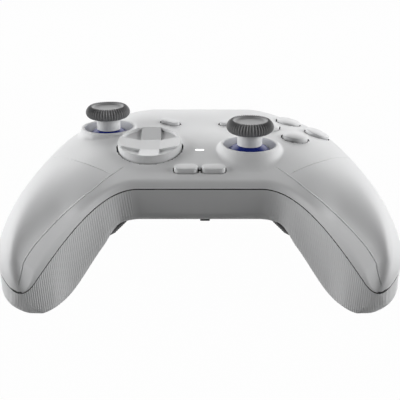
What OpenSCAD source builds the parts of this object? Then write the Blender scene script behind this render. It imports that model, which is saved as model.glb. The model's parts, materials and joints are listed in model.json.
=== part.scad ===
// Two-handed game controller with offset sticks, a dished direction pad,
// four face buttons, shoulder buttons, triggers and two back buttons.
// Millimetres. X across the grips, Y from the player to the rear, Z up from the table.

/* [Body] */
// Whole width across the two grips
body_width = 152.4; // [144:0.2:166]
// Reach of the shells from the middle to the rear edge
rear_edge = 51.5; // [48:0.5:58]
// Reach from the middle to the front edge between the grips
front_edge = 24; // [22:0.5:26]
// Reach from the middle to the grip tips
tip_reach = 56.5; // [51:0.5:60]
// Half of the straight front edge between the grips
waist = 24; // [20:0.5:28]
// Height of the parting line at the front edge
front_seam = 38.5; // [37:0.25:40]
// Height of the parting line at the rear edge
rear_seam = 40.5; // [39:0.25:42]
// Height of the parting line at a grip tip
tip_seam = 10.5; // [9:0.25:12]
// Height of the parting line at the shoulders
shoulder_seam = 35.7; // [35:0.1:36.5]
// Distance of the shoulders to the rear of the middle
shoulder_reach = 30; // [26:0.5:34]
// Wall of both shells
wall = 1.9; // [1.6:0.1:2.4]
// Open line between the two shells
seam_gap = 0.45; // [0.3:0.05:0.6]
// Height of the band between the parting line and the face
band_height = 3; // [2:0.25:4]

/* [Sticks] */
// Left stick, distance from the side of the left grip
left_stick_inset = 35.2; // [34:0.1:36]
// Left stick, distance to the rear of the middle
left_stick_y = 22.8; // [20:0.2:24]
// Right stick, distance to the right of the middle
right_stick_x = 20.8; // [19.5:0.1:22]
// Right stick, distance to the rear of the middle
right_stick_y = -0.8; // [-3:0.2:1]
// Height of the left ring rim
left_ring_top = 50.3; // [49.5:0.1:51]
// Height of the right ring rim
right_ring_top = 49.6; // [49:0.1:50.5]
// Radius of the ring openings
ring_radius = 10.8; // [10.2:0.1:11.6]
// Radius of the rubber caps
stick_cap_radius = 9.85; // [8.5:0.05:10.5]
// Thickness of the rubber caps
stick_cap_height = 5.5; // [4.6:0.1:6.5]
// Radius of the posts under the caps
stick_post_radius = 5.2; // [4:0.1:5.5]
// Radius of the blue domes
dome_radius = 13.6; // [13:0.1:13.9]
// Height of the tilt centre
stick_pivot = 36.6; // [36:0.1:37]
// Length of the posts between the domes and the caps
stick_post_height = 4.3; // [3:0.1:6]
// Size of the stick housings
stick_frame = 17; // [16.6:0.1:18]

/* [Direction pad] */
// Distance to the left of the middle
dpad_x = 20.8; // [20:0.1:22]
// Distance to the rear of the middle
dpad_y = -0.8; // [-3:0.2:1]
// Radius of the round dish
dpad_radius = 13.3; // [12.4:0.1:13.6]
// Height of the middle of the rim
dpad_top = 51; // [50.3:0.1:51.5]
// Lean of the pad towards the player, degrees
dpad_lean = 10.5; // [6:0.5:12]
// Width of the cross arms
dpad_arm = 7.8; // [6:0.2:9]

/* [Buttons] */
// Middle of the four face buttons, distance from the side of the right grip
face_inset = 34.7; // [34:0.1:36]
// Middle of the four face buttons, to the rear of the middle
face_y = 22.8; // [21:0.2:24]
// Distance of each face button from their middle
face_spread = 12; // [11.6:0.1:12.6]
// Radius of the face buttons
face_radius = 5.45; // [4.8:0.05:5.6]
// Height of the face buttons over the face
face_rise = 2.4; // [1.8:0.1:3]
// Travel of the face buttons
face_travel = 1.2; // [0.8:0.1:1.4]
// Upper small buttons, distance from the middle line
pill_x = 13.4; // [12.5:0.1:15]
// Upper small buttons, distance to the rear of the middle
pill_y = 28; // [26:0.25:29]
// Turn of the upper small buttons, degrees
pill_turn = 34; // [0:1:45]
// Lower small buttons, distance from the middle line
low_pill_x = 5.5; // [5.4:0.1:6.5]
// Lower small buttons, distance to the rear of the middle
low_pill_y = -17.2; // [-18:0.2:-15]
// Lean of the lower small buttons towards the player, degrees
low_pill_lean = 12; // [10:1:20]
// Length of the small buttons
pill_length = 9.4; // [8:0.2:9.8]
// Width of the small buttons
pill_width = 4.3; // [3.4:0.1:5]
// Height of the small buttons over the face
pill_rise = 1.5; // [1:0.1:2.2]
// Travel of the small buttons
pill_travel = 0.8; // [0.5:0.1:1]
// Length of the status light
light_length = 3.6; // [3:0.1:6]
// Width of the status light
light_width = 0.9; // [0.7:0.1:1.4]
// Status light, distance to the rear of the middle
light_y = -2.6; // [-6:0.2:2]
// Gap between a moving button and its hole
button_gap = 0.3; // [0.2:0.05:0.4]

/* [Shoulders and triggers] */
// Height of the shoulder buttons
bumper_height = 9.5; // [8:0.25:10]
// Depth of the shoulder buttons
bumper_depth = 5.2; // [4.6:0.1:5.4]
// Inward swing of the shoulder buttons, degrees
bumper_swing = 3; // [2:0.5:3.5]
// Width of a trigger
trigger_width = 22; // [20:0.5:23]
// Middle of a trigger, distance from the side of the grip
trigger_inset = 32.2; // [31.4:0.1:33]
// Trigger pin, distance to the rear of the middle
trigger_pivot_y = 38; // [37.5:0.1:38.5]
// Height of the trigger pin
trigger_pivot_z = 28; // [27.5:0.1:28.2]
// Radius of the trigger pins
trigger_pin = 1.5; // [1.2:0.05:1.8]
// Swing of the triggers, degrees
trigger_swing = 15; // [10:1:16]

/* [Back and inside] */
// Length of the back buttons
paddle_length = 22; // [18:0.5:24]
// Width of the back buttons
paddle_width = 9; // [7:0.25:10]
// Travel of the back buttons
paddle_travel = 1; // [0.6:0.1:1.2]
// Top of the main board
board_top = 29.5; // [29.3:0.1:29.6]
// Thickness of the main board
board_thick = 1.6; // [1:0.1:1.8]
// Length of the battery
battery_length = 44; // [36:1:48]
// Width of the battery
battery_width = 26; // [20:1:28]
// Thickness of the battery
battery_thick = 7; // [5:0.25:7.5]
// Radius of the motor cans
motor_radius = 5.5; // [5:0.1:6]
// Length of the motor cans
motor_length = 16; // [12:0.5:17]
// Radius of the motor weights
weight_radius = 7.5; // [6:0.25:8]

/* [Hidden] */
$fn = 48;
half = body_width / 2;
up = [0, 0, 1];
fit = 0.05;
loose = 0.3;
dome_height = 5;

// Rails of the parting line from the middle to the right grip tip
tip = [half - 13.9, -tip_reach, tip_seam];
bend_1 = 0.30;
bend_2 = 0.52;
in_rail = [
    [0, -front_edge, front_seam],
    [waist, -front_edge, front_seam],
    [waist + 16, -front_edge, front_seam],
    [tip[0] - 11.6, 7 - tip_reach, 15.7 + tip_seam],
    tip
];
out_rail = [
    [0, rear_edge, rear_seam],
    [22, rear_edge, rear_seam],
    [half - 33.2, rear_edge, rear_seam - 0.5],
    [half - 22.5, shoulder_reach + 12.5, shoulder_seam + 1.8],
    [half - 16.7, shoulder_reach, shoulder_seam],
    [half - 10.2, shoulder_reach - 17, shoulder_seam - 2.2],
    [half + 15.8, 4 - tip_reach, 8.6 + tip_seam],
    tip
];

// Section values from the end of the straight middle to the grip tip
stations = [bend_1, 0.40, bend_2, 0.72, 0.88, 1];
lean_x = [0, 0.01, 0.05, 0.12, 0.16, 0.16];
lean_y = [0, -0.03, -0.12, -0.42, -0.5, -0.5];
brow_in = [13, 12.5, 11, 3, 2, 1];
brow_up = [5.3, 5.6, 6.5, 8, 8, 7];
crown_at = [0.577, 0.57, 0.55, 0.48, 0.45, 0.45];
crown_up = [8.6, 10, 10.7, 14.3, 13, 11];
edge_up = [12.3, 9.1, 8.9, 10.8, 6, 5];
edge_in = [1, 2.1, 2, 6.5, 4.4, 2];
side_up = [6.5, 6.2, 6.1, 4.4, 3, 3];
chine_in = [2.7, 2.7, 0, -0.3, -2.9, -2.9];
chine_down = [14.3, 14.3, 18.4, 23.8, 16.8, 12];
floor_in = [9.3, 9.3, 7, 4, 4.2, 4];
floor_down = [3.2, 3.2, 3.5, 1.2, 0.2, 0.2];
belly_at = [0.52, 0.51, 0.5, 0.45, 0.45, 0.45];
belly_z = [11.5, 10.5, 8, 1.2, -0.8, -1.3];
heel_out = [-5.5, -5.7, -6, -2, 0.3, -1];
heel_down = [30.5, 29.4, 27, 23, 12.3, 9.4];
flank_down = [14.5, 14.1, 13, 10, 6.5, 4.3];

half_rows = 26;
cross_rows = 16;
inner_end = 0.95;

function unit(v) = v / norm(v);
function bezier(p, t) =
    pow(1 - t, 3) * p[0] + 3 * pow(1 - t, 2) * t * p[1] + 3 * (1 - t) * t * t * p[2] + pow(t, 3) * p[3];
function part_of(p, a) = [for (i = [a : a + 3]) p[i]];
function rail_in(s) = s < bend_1
    ? in_rail[0] + (in_rail[1] - in_rail[0]) * s / bend_1
    : bezier(part_of(in_rail, 1), (s - bend_1) / (1 - bend_1));
function rail_out(s) = s < bend_1
    ? out_rail[0] + (out_rail[1] - out_rail[0]) * s / bend_1
    : s < bend_2
        ? bezier(part_of(out_rail, 1), (s - bend_1) / (bend_2 - bend_1))
        : bezier(part_of(out_rail, 4), (s - bend_2) / (1 - bend_2));

// Smooth run of a section value along the stations
function step_of(v, i) = (v[i + 1] - v[i]) / (stations[i + 1] - stations[i]);
function slope_at(v, i) = i == 0 ? 0
    : i == 5 ? step_of(v, 4)
    : step_of(v, i) * step_of(v, i - 1) <= 0 ? 0
    : 2 * step_of(v, i) * step_of(v, i - 1) / (step_of(v, i) + step_of(v, i - 1));
function span_of(s, i = 0) = i >= 4 || s < stations[i + 1] ? i : span_of(s, i + 1);
function along(v, s) = s <= stations[0] ? v[0] :
    let (k = span_of(s), h = stations[k + 1] - stations[k], t = (s - stations[k]) / h)
    (1 + 2 * t) * pow(1 - t, 2) * v[k] + t * pow(1 - t, 2) * h * slope_at(v, k)
    + t * t * (3 - 2 * t) * v[k + 1] + t * t * (t - 1) * h * slope_at(v, k + 1);
function blunt(q, from, power) =
    q < from ? 1 : pow(max(0, 1 - pow((q - from) / (1 - from), power)), 1 / power);

// Smooth curve guided by the points p, through the first and the last
function guided(p, t) =
    let (n = len(p) - 2, u = min(t * n, n - 0.000001), k = floor(u), w = u - k,
         a = k == 0 ? p[0] : (p[k] + p[k + 1]) / 2,
         b = k == n - 1 ? p[n + 1] : (p[k + 1] + p[k + 2]) / 2)
    (1 - w) * (1 - w) * a + 2 * w * (1 - w) * p[k + 1] + w * w * b;

// Section of the upper shell at q, moved inwards by d
function upper_section(q, d, end, least) =
    let (s = q * end, b = max(least, blunt(q, 0.8, 2.5)),
         i0 = rail_in(s), o0 = rail_out(s), c = unit(o0 - i0),
         w = min(1, (norm(o0 - i0) - 2 * d) / 14),
         n = unit([along(lean_x, s), along(lean_y, s), 1]),
         i = i0 + c * d, o = o0 - c * d,
         k0 = i0 + c * w + up * band_height * w,
         m = along(crown_at, s),
         k = k0 + c * d - up * 0.6 * d,
         f = k0 + c * (along(brow_in, s) * w + 0.35 * d) + n * (along(brow_up, s) - 0.95 * d),
         g = k0 + (o0 - k0) * m + n * (along(crown_up, s) - d),
         r = o0 + n * (along(edge_up, s) - d) - c * (along(edge_in, s) * w + 0.6 * d),
         e = o + n * along(side_up, s),
         guide = [i + (k - i) * b, i + (f - i) * b, i + (o - i) * m + (g - i - (o - i) * m) * b,
                  o + (r - o) * b, o + (e - o) * b, o])
    [for (j = [0 : cross_rows])
        j < 2 ? i + (guide[0] - i) * j / 2 : guided(guide, (j - 2) / (cross_rows - 2))];

// Section of the lower shell at q, moved inwards by d
function lower_section(q, d, end, least) =
    let (s = q * end, b = max(least, blunt(q, 0.82, 3)),
         i0 = rail_in(s) - up * seam_gap, o0 = rail_out(s) - up * seam_gap, c = unit(o0 - i0),
         w = min(1, (norm(o0 - i0) - 2 * d) / 14),
         i = i0 + c * d, o = o0 - c * d, m = along(belly_at, s),
         e0 = i0 + c * along(chine_in, s) - up * along(chine_down, s),
         x = i0 + (e0 - i0) * 0.45 + c * d,
         e = e0 + c * 0.9 * d + up * 0.6 * d,
         f = e0 + c * (along(floor_in, s) * w + 0.2 * d) + up * (d - along(floor_down, s)),
         g0 = i0 + (o0 - i0) * m,
         g = [g0[0], g0[1], along(belly_z, s) + d],
         h = o0 + c * (along(heel_out, s) * w - 0.8 * d) + up * (0.8 * d - along(heel_down, s)),
         l = o - up * along(flank_down, s),
         base = i + (o - i) * m,
         guide = [i, i + (x - i) * b, i + (e - i) * b, i + (f - i) * b, base + (g - base) * b,
                  o + (h - o) * b, o + (l - o) * b, o])
    [for (j = [0 : cross_rows]) guided(guide, j / cross_rows)];

// Place along the body of a row, closer together towards the grip tips
function row_place(i) =
    let (h = abs(i - half_rows), k = half_rows / 2)
    h <= k ? bend_2 * h / k : bend_2 + (1 - bend_2) * (1 - pow(1 - (h - k) / k, 1.5));
function row(upper, i, d, end, least) =
    let (side = i < half_rows ? -1 : 1,
         p = upper ? upper_section(row_place(i), d, end, least)
             : lower_section(row_place(i), d, end, least))
    [for (v = p) [side * v[0], v[1], v[2]]];

last = 2 * half_rows;
wide = cross_rows + 1;
function turned(f, flip) = flip ? [for (i = [len(f) - 1 : -1 : 0]) f[i]] : f;
function split(f) = [for (i = [1 : len(f) - 2]) [f[0], f[i], f[i + 1]]];
function flat(l) = [for (a = l) for (b = a) b];
function outer_at(i, j) = i == 0 ? 0 : i == last ? 1 : 2 + (i - 1) * wide + j;
function inner_at(i, j) = 2 + (last - 1) * wide + i * wide + j;

// One hollow shell
module shell_form(upper) {
    rise = upper ? tip : tip - up * seam_gap;
    points = concat(
        [[-rise[0], rise[1], rise[2]], rise],
        flat([for (i = [1 : last - 1]) row(upper, i, 0, 1, 0)]),
        flat([for (i = [0 : last]) row(upper, i, wall, inner_end, 0.3)]));
    skin = [for (i = [0 : last - 1]) for (j = [0 : cross_rows - 1])
        i == 0 ? [0, outer_at(1, j + 1), outer_at(1, j)]
        : i == last - 1 ? [outer_at(i, j), outer_at(i, j + 1), 1]
        : [outer_at(i, j), outer_at(i, j + 1), outer_at(i + 1, j + 1), outer_at(i + 1, j)]];
    lining = [for (i = [0 : last - 1]) for (j = [0 : cross_rows - 1])
        [inner_at(i, j), inner_at(i + 1, j), inner_at(i + 1, j + 1), inner_at(i, j + 1)]];
    front = [for (i = [0 : last - 1])
        [outer_at(i, 0), outer_at(i + 1, 0), inner_at(i + 1, 0), inner_at(i, 0)]];
    rear = [for (i = [0 : last - 1])
        let (a = outer_at(i, cross_rows), b = outer_at(i + 1, cross_rows),
             c = inner_at(i, cross_rows), d = inner_at(i + 1, cross_rows))
        i < half_rows ? [a, c, d, b] : [b, a, c, d]];
    ends = [
        [0, inner_at(0, 0), inner_at(0, cross_rows)],
        [1, inner_at(last, cross_rows), inner_at(last, 0)],
        [for (j = [0 : cross_rows]) inner_at(0, (j + 12) % wide)],
        [for (j = [cross_rows : -1 : 0]) inner_at(last, (j + 12) % wide)]];
    faces = flat([for (f = concat(skin, lining, front, rear, ends)) split(turned(f, !upper))]);
    polyhedron(points, faces);
}

// Solid filled to the middle of a shell's wall, to trim ribs and bosses
module shell_fill(upper) {
    function at(i, j) = i * wide + j;
    points = flat([for (i = [0 : last]) row(upper, i, wall / 2, inner_end, 0.3)]);
    skin = [for (i = [0 : last - 1]) for (j = [0 : cross_rows - 1])
        [at(i, j), at(i, j + 1), at(i + 1, j + 1), at(i + 1, j)]];
    lid = [for (i = [0 : last - 1]) [at(i, 0), at(i + 1, 0), at(i + 1, cross_rows), at(i, cross_rows)]];
    ends = [
        [for (j = [cross_rows : -1 : 0]) at(0, (j + 12) % wide)],
        [for (j = [0 : cross_rows]) at(last, (j + 12) % wide)]];
    faces = flat([for (f = concat(skin, lid, ends)) split(turned(f, !upper))]);
    polyhedron(points, faces);
}

// Height of the outer surface over a place, from its nearest points
face_cloud = flat([for (i = [1 : last - 1]) row(true, i, 0, 1, 0)]);
belly_cloud = flat([for (i = [1 : last - 1]) [for (j = [5 : cross_rows - 3]) row(false, i, 0, 1, 0)[j]]]);
function weight_of(p, x, y) = 1 / (0.02 + pow(pow(p[0] - x, 2) + pow(p[1] - y, 2), 2));
function sum_of(v) = [for (i = v) 1] * v;
function height_in(cloud, x, y) =
    let (w = [for (p = cloud) weight_of(p, x, y)], z = [for (p = cloud) p[2]])
    (w * z) / sum_of(w);
function face_z(x, y) = height_in(face_cloud, x, y);
function belly_at_z(x, y) = height_in(belly_cloud, x, y);

left_stick = [left_stick_inset - half, left_stick_y];
right_stick = [right_stick_x, right_stick_y];
face_x = half - face_inset;
trigger_x = half - trigger_inset;
face_a = [face_x, face_y - face_spread];
face_b = [face_x + face_spread - 0.4, face_y];
face_c = [face_x - face_spread + 1, face_y + 0.6];
face_d = [face_x, face_y + face_spread];
pill_z = face_z(pill_x, pill_y);
pill_lean = 6;
low_pill_z = face_z(low_pill_x, low_pill_y);
light_z = face_z(0, light_y);
stem_foot = board_top + dome_height + face_travel + loose;
stem_radius = 2.4;
board_under = board_top - board_thick;

bumper_low = 33;
ledge_top = bumper_low + 0.8;
pocket_wall = 1;
pocket_y = left_stick_y + stick_frame / 2 + 0.4;
pocket_side = trigger_width / 2 + 0.7;
trigger_boss = 6;
bumper_pin = [24, rear_edge - 7.5];
bumper_pin_radius = 1.25;
bumper_from = bend_1 + 0.005;
bumper_to = bend_2 - 0.01;
bumper_thin = 3;
paddle_place = [36.5, -10];
paddle_z = belly_at_z(paddle_place[0], paddle_place[1]);
paddle_lean = 10;
paddle_roll = 32;
paddle_turn = 14;
switch_place = [2.2, -13];
switch_z = belly_at_z(switch_place[0], switch_place[1]);
switch_lean = 19;
switch_throw = 2;
motor_place = [half - 19.2, -7, 24];
motor_yaw = 22;
motor_pitch = 40;
grip_screw = [half - 13.7, -37];
rear_screw = [17.6, rear_edge - 7.5];
board_screw_front = [25, -13.2];
board_screw_rear = [9.5, 41];
usb_z = board_top + 1.65;
battery_base = board_under - battery_thick - 2;
board_side = half - 20.7;
board_neck = half - 32.2;
grip_boss = 14;
grip_seat = 9;
rear_boss = 30;
rear_seat = 17;
screw_grip = 8;
switch_height = 3;
screw_head = 2.4;
key_ledge = dome_under(face_d, ledge_top);
battery_y = 17;

module mirrored() {
    children();
    mirror([1, 0, 0]) children();
}
module rod(r, a, b) {
    translate([0, 0, a]) cylinder(r = r, h = b - a);
}
module pill(length, width, height) {
    span = length - width;
    translate([-span / 2, 0, 0]) cylinder(d = width, h = height);
    translate([span / 2, 0, 0]) cylinder(d = width, h = height);
    translate([-span / 2, -width / 2, 0]) cube([span, width, height]);
}

// Places of the buttons and the direction pad
module at_pill(side) {
    translate([side * pill_x, pill_y, pill_z])
        rotate([pill_lean, 0, 0]) rotate([0, 0, side * pill_turn]) children();
}
module at_low_pill(side) {
    translate([side * low_pill_x, low_pill_y, low_pill_z]) rotate([low_pill_lean, 0, 0]) children();
}
function face_roll(p) = atan((face_z(p[0] - 3, p[1]) - face_z(p[0] + 3, p[1])) / 6);
function face_foot(p, seat) =
    (seat + dome_height + face_travel + loose - face_z(p[0], p[1])) / cos(face_roll(p));
function dome_under(p, seat) = [p[0] + face_foot(p, seat) * sin(face_roll(p)), p[1]];
module at_face(p) {
    translate([p[0], p[1], face_z(p[0], p[1])]) rotate([0, face_roll(p), 0]) children();
}
module at_dpad() {
    translate([-dpad_x, dpad_y, dpad_top]) rotate([dpad_lean, 0, 0]) children();
}
module at_paddle() {
    translate([paddle_place[0], paddle_place[1], paddle_z])
        rotate([-paddle_lean, paddle_roll, 0]) rotate([0, 0, 90 + paddle_turn]) children();
}
module at_switch() {
    translate([switch_place[0], switch_place[1], switch_z]) rotate([-switch_lean, 0, 0]) children();
}
module at_motor() {
    translate(motor_place) rotate([0, 0, motor_yaw]) rotate([90 + motor_pitch, 0, 0]) children();
}

// Shoulder button outline along the rear edge, thinner towards its outer end, and the room it swings in
function bumper_edge(out, spare, thin = 0) = [for (k = [0 : 16])
    let (more = 0.006 * spare, s = bumper_from - more + (bumper_to - bumper_from + 2 * more) * k / 16,
         p = rail_out(s), t = rail_out(s + 0.002) - rail_out(s - 0.002), n = unit([-t[1], t[0]]))
    [p[0], p[1]] + n * (out + thin * pow(k / 16, 1.5))];
module bumper_form(grow, height) {
    linear_extrude(height)
        polygon(concat(bumper_edge(0.8 + grow, grow),
            turned(bumper_edge(-bumper_depth - grow, grow, bumper_thin), true)));
    translate(bumper_pin) cylinder(r = 3.2 + grow, h = height);
    translate([bumper_pin[0] - 2.7 - grow, bumper_pin[1], 0]) cube([5.4 + 2 * grow, 5, height]);
}
module bumper_room() {
    for (a = [0, -bumper_swing / 2, -bumper_swing])
        translate([bumper_pin[0], bumper_pin[1], bumper_low - loose - 0.05])
            rotate([0, 0, a])
                translate([-bumper_pin[0], -bumper_pin[1], 0])
                    bumper_form(0.35, bumper_height + 2 * loose + 0.1);
}

module upper_shell() {
    color("#e4e5e6") difference() {
        union() {
            shell_form(true);
            intersection() {
                shell_fill(true);
                mirrored() {
                    translate(grip_screw) rod(3.2, grip_boss + loose, 60);
                    translate(rear_screw) rod(3.2, rear_boss + loose, 60);
                    translate(bumper_pin) rod(2.9, bumper_low + bumper_height + loose, 60);
                }
            }
            translate(left_stick) rotate_extrude() ring_profile(left_ring_top, 2.6, 4.6);
            translate(right_stick) rotate_extrude() ring_profile(right_ring_top, 4.4, 4.6);
        }
        for (p = [left_stick, right_stick]) at_stick(p) {
            rod(ring_radius, -6, 24);
            rod(ring_radius + 1.5, -6, dome_rise(ring_radius) + 0.4);
            rod(dome_radius + 0.5, -6, dome_rise(ring_radius + 1.5) + 0.5);
        }
        at_dpad() rod(dpad_radius + 0.55, -20, 10);
        for (p = [face_a, face_b, face_c, face_d]) at_face(p) rod(face_radius + button_gap, -8, 10);
        for (side = [-1, 1]) {
            at_pill(side) translate([0, 0, -8])
                pill(pill_length + 2 * button_gap, pill_width + 2 * button_gap, 16);
            at_low_pill(side) translate([0, 0, -8])
                pill(pill_length + 2 * button_gap, pill_width + 2 * button_gap, 16);
        }
        translate([0, light_y, light_z - 5]) pill(light_length + 2 * fit, light_width + 2 * fit, 10);
        mirrored() {
            bumper_room();
            translate(bumper_pin) rod(bumper_pin_radius + fit, 40, 45);
            translate(grip_screw) rod(1.1, grip_boss - 4, grip_boss + screw_grip + 1);
            translate(rear_screw) rod(1.1, rear_boss - 4, rear_boss + screw_grip + 3);
        }
    }
}

// Ring lip around a stick opening, and the height of a dome at a radius
function dome_rise(r) = sqrt(max(0, pow(dome_radius, 2) - pow(r, 2)));
module ring_profile(top, reach, fall) {
    polygon([
        [ring_radius - 0.5, top - 5],
        [ring_radius - 0.5, top - 0.5],
        [ring_radius + 0.5, top],
        [ring_radius + 1.2, top],
        [ring_radius + 1.2 + reach * 0.35, top - fall * 0.28],
        [ring_radius + 1.2 + reach, top - fall],
        [ring_radius + 1.2 + reach, top - fall - 1.7]
    ]);
}

module lower_shell() {
    color("#d6d7d9") difference() {
        union() {
            shell_form(false);
            intersection() {
                shell_fill(false);
                union() {
                    mirrored() {
                        translate(grip_screw) rod(4, -2, grip_boss);
                        translate(rear_screw) rod(4, 0, rear_boss);
                        translate(bumper_pin) rod(2.9, 0, bumper_low - loose);
                        translate(board_screw_front) rod(2.6, 0, board_under - 0.2);
                        translate(board_screw_rear) rod(2.6, 0, board_under - 0.2);
                        for (y = [battery_y - 8, battery_y + 8])
                            translate([battery_length / 2 - 5, y, 0]) rod(2.4, 0, battery_base - 0.2);
                        for (x = [trigger_x - pocket_side - 1.5, trigger_x + pocket_side])
                            translate([x, pocket_y, 0]) cube([1.5, 30, bumper_low - loose]);
                        translate([trigger_x - pocket_side - 1.5, pocket_y, 0])
                            cube([2 * pocket_side + 3, pocket_wall, bumper_low - loose]);
                        translate([key_ledge[0] - 4.2, pocket_y, bumper_low - 1])
                            cube([8.4, pocket_wall, 1.8]);
                        translate([key_ledge[0] - 4.2, pocket_y, ledge_top - 1.2])
                            cube([8.4, key_ledge[1] + 4 - pocket_y, 1.2]);
                        at_motor() for (z = [-5, 3])
                            translate([-motor_radius - 0.6, -24, z]) cube([2 * motor_radius + 1.2, 24, 2]);
                    }
                }
            }
        }
        mirrored() {
            bumper_room();
            translate([trigger_x - pocket_side, pocket_y + pocket_wall, 15.5])
                cube([2 * pocket_side, 40, bumper_low - 0.4 - 15.5]);
            translate([trigger_x - pocket_side, 39.4, 20]) cube([2 * pocket_side, 40, bumper_low - 20]);
            translate([trigger_x - pocket_side, 39.4, -5]) cube([2 * pocket_side, 40, 21]);
            translate([trigger_x, trigger_pivot_y, trigger_pivot_z])
                rotate([0, 90, 0]) rod(trigger_pin + fit, -trigger_width / 2 - 3, trigger_width / 2 + 3);
            translate(grip_screw) rod(screw_head + loose, -5, grip_seat);
            translate(grip_screw) rod(1.6, grip_seat - 1, grip_boss + 1);
            translate(rear_screw) rod(screw_head + loose, -5, rear_seat);
            translate(rear_screw) rod(1.6, rear_seat - 1, rear_boss + 1);
            translate(board_screw_front) rod(0.85, board_under - 6, board_under + 1);
            translate(board_screw_rear) rod(0.85, board_under - 6, board_under + 1);
            translate(bumper_pin) rod(bumper_pin_radius + fit, bumper_low - 4, bumper_low + 2);
            at_paddle() translate([0, 0, -8])
                pill(paddle_length + 2 * button_gap, paddle_width + 2 * button_gap, 12);
        }
        mirrored() at_motor() rod(motor_radius + 0.2, -motor_length / 2 - 1, motor_length / 2 + 1);
        at_switch() translate([-2.3 - switch_throw / 2, -1.5, -6]) cube([4.6 + switch_throw, 3, 12]);
        translate([0, rear_edge - 8, usb_z]) rotate([-90, 0, 0]) pill(9.6, 3.9, 16);
    }
}

module status_light() {
    color("#fbfbff") translate([0, light_y, light_z - 2.4]) pill(light_length, light_width, 2.5);
}

// Stick pieces, drawn about the tilt centre
module at_stick(place) {
    translate([place[0], place[1], stick_pivot]) children();
}
cap_low = dome_radius + stick_post_height;
module stick_cap() {
    r = stick_cap_radius;
    h = stick_cap_height;
    color("#6f7072") difference() {
        translate([0, 0, cap_low]) rotate_extrude() polygon([
            [0, 0],
            [r - 2.6, 0],
            [r - 1.2, 0.45],
            [r - 0.35, 1.4],
            [r, 2.6],
            [r - 0.3, 3.8],
            [r - 1.1, h - 0.5],
            [r - 1.9, h],
            [r - 2.5, h - 0.2],
            [r - 3.2, h - 1.2],
            [0, h - 1.7]
        ]);
        rod(3.5 + fit / 2, cap_low - 1, cap_low + 2);
    }
}
module stick_post() {
    color("#c9cacb") difference() {
        union() {
            rod(stick_post_radius, dome_radius - 3, cap_low - 0.05);
            rod(3.5, cap_low - 1, cap_low + 1.95);
        }
        sphere(r = dome_radius + 0.02, $fn = 96);
        rod(2, 0, cap_low + 0.5);
    }
}
module stick_dome() {
    color("#2235a5") difference() {
        sphere(r = dome_radius, $fn = 96);
        sphere(r = dome_radius - 1, $fn = 96);
        rod(dome_radius + 1, -dome_radius - 1, 2.2);
        rod(2, 0, dome_radius + 1);
    }
}
module stick_lever() {
    color("#b8babd") {
        rod(1.95, -2.4, cap_low + 0.4);
        translate([0, 0, -2.4]) sphere(r = 1.95);
    }
}
module stick_yoke() {
    color("#3a3b3e") difference() {
        union() {
            rod(6.6, -1.5, 1.5);
            rotate([0, 90, 0]) rod(1, -stick_frame / 2 + 0.2, stick_frame / 2 - 0.2);
        }
        rod(5.4, -3, 3);
        rotate([90, 0, 0]) rod(0.8 + fit, -8, 8);
    }
}
module stick_rocker() {
    color("#d8d8d4") difference() {
        union() {
            rod(4.7, -1.7, 1.7);
            rotate([90, 0, 0]) rod(0.8, -6.3, 6.3);
        }
        rod(2, -3, 3);
    }
}
module stick_housing() {
    base = board_top + 0.05 - stick_pivot;
    s = stick_frame;
    color("#9fa3a8") difference() {
        intersection() {
            translate([-s / 2, -s / 2, base]) cube([s, s, 10]);
            rod(dome_radius - 2.1, base, 10);
        }
        translate([-s / 2 + 1.1, -s / 2 + 1.1, base + 1]) cube([s - 2.2, s - 2.2, 12]);
        rotate([0, 90, 0]) rod(1 + fit, -s, s);
    }
}
module stick_sensors(side) {
    base = board_top + 0.05 - stick_pivot;
    s = stick_frame / 2 + 0.1;
    color("#2c4a36") {
        translate([s, -4, base]) cube([2.2, 8, 8.6]);
        translate([-4, side > 0 ? s : -s - 2.2, base]) cube([8, 2.2, 8.6]);
    }
}
module left_stick_cap() { at_stick(left_stick) stick_cap(); }
module left_stick_post() { at_stick(left_stick) stick_post(); }
module left_stick_dome() { at_stick(left_stick) stick_dome(); }
module left_stick_lever() { at_stick(left_stick) stick_lever(); }
module left_stick_yoke() { at_stick(left_stick) stick_yoke(); }
module left_stick_rocker() { at_stick(left_stick) stick_rocker(); }
module left_stick_housing() { at_stick(left_stick) stick_housing(); }
module left_stick_sensors() { at_stick(left_stick) stick_sensors(-1); }
module right_stick_cap() { at_stick(right_stick) stick_cap(); }
module right_stick_post() { at_stick(right_stick) stick_post(); }
module right_stick_dome() { at_stick(right_stick) stick_dome(); }
module right_stick_lever() { at_stick(right_stick) stick_lever(); }
module right_stick_yoke() { at_stick(right_stick) stick_yoke(); }
module right_stick_rocker() { at_stick(right_stick) stick_rocker(); }
module right_stick_housing() { at_stick(right_stick) stick_housing(); }
module right_stick_sensors() { at_stick(right_stick) stick_sensors(1); }

// Direction pad on a small cross joint
dpad_joint = -8;
dpad_keys = [[9, 0], [-9, 0], [0, 9], [0, -9]];
function key_foot(p) =
    (board_top + dome_height + 1 - dpad_top - p[1] * sin(dpad_lean)) / cos(dpad_lean);
module dpad_cap() {
    r = dpad_radius;
    a = dpad_arm / 2;
    color("#e9eaeb") at_dpad() {
        difference() {
            rod(r, -6.2, 0);
            translate([0, 0, 50 - 2]) sphere(r = 50, $fn = 120);
            intersection() {
                rod(r - 0.9, -3.4, 1);
                for (i = [-1, 1]) for (j = [-1, 1])
                    translate([i > 0 ? a : -r - a, j > 0 ? a : -r - a, -6]) cube([r, r, 8]);
                translate([0, 0, 40 - 3.4]) sphere(r = 40, $fn = 120);
            }
            rod(r - 1.5, -7, -5);
        }
        for (y = [-4.6, 3.4]) difference() {
            translate([-2, y, dpad_joint - 1.7]) cube([4, 1.2, 5]);
            translate([0, y, dpad_joint]) rotate([-90, 0, 0]) rod(1 + fit, -1, 3);
        }
        for (p = dpad_keys) translate([p[0], p[1], 0]) rod(1.4, key_foot(p), -4.9);
    }
}
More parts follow.
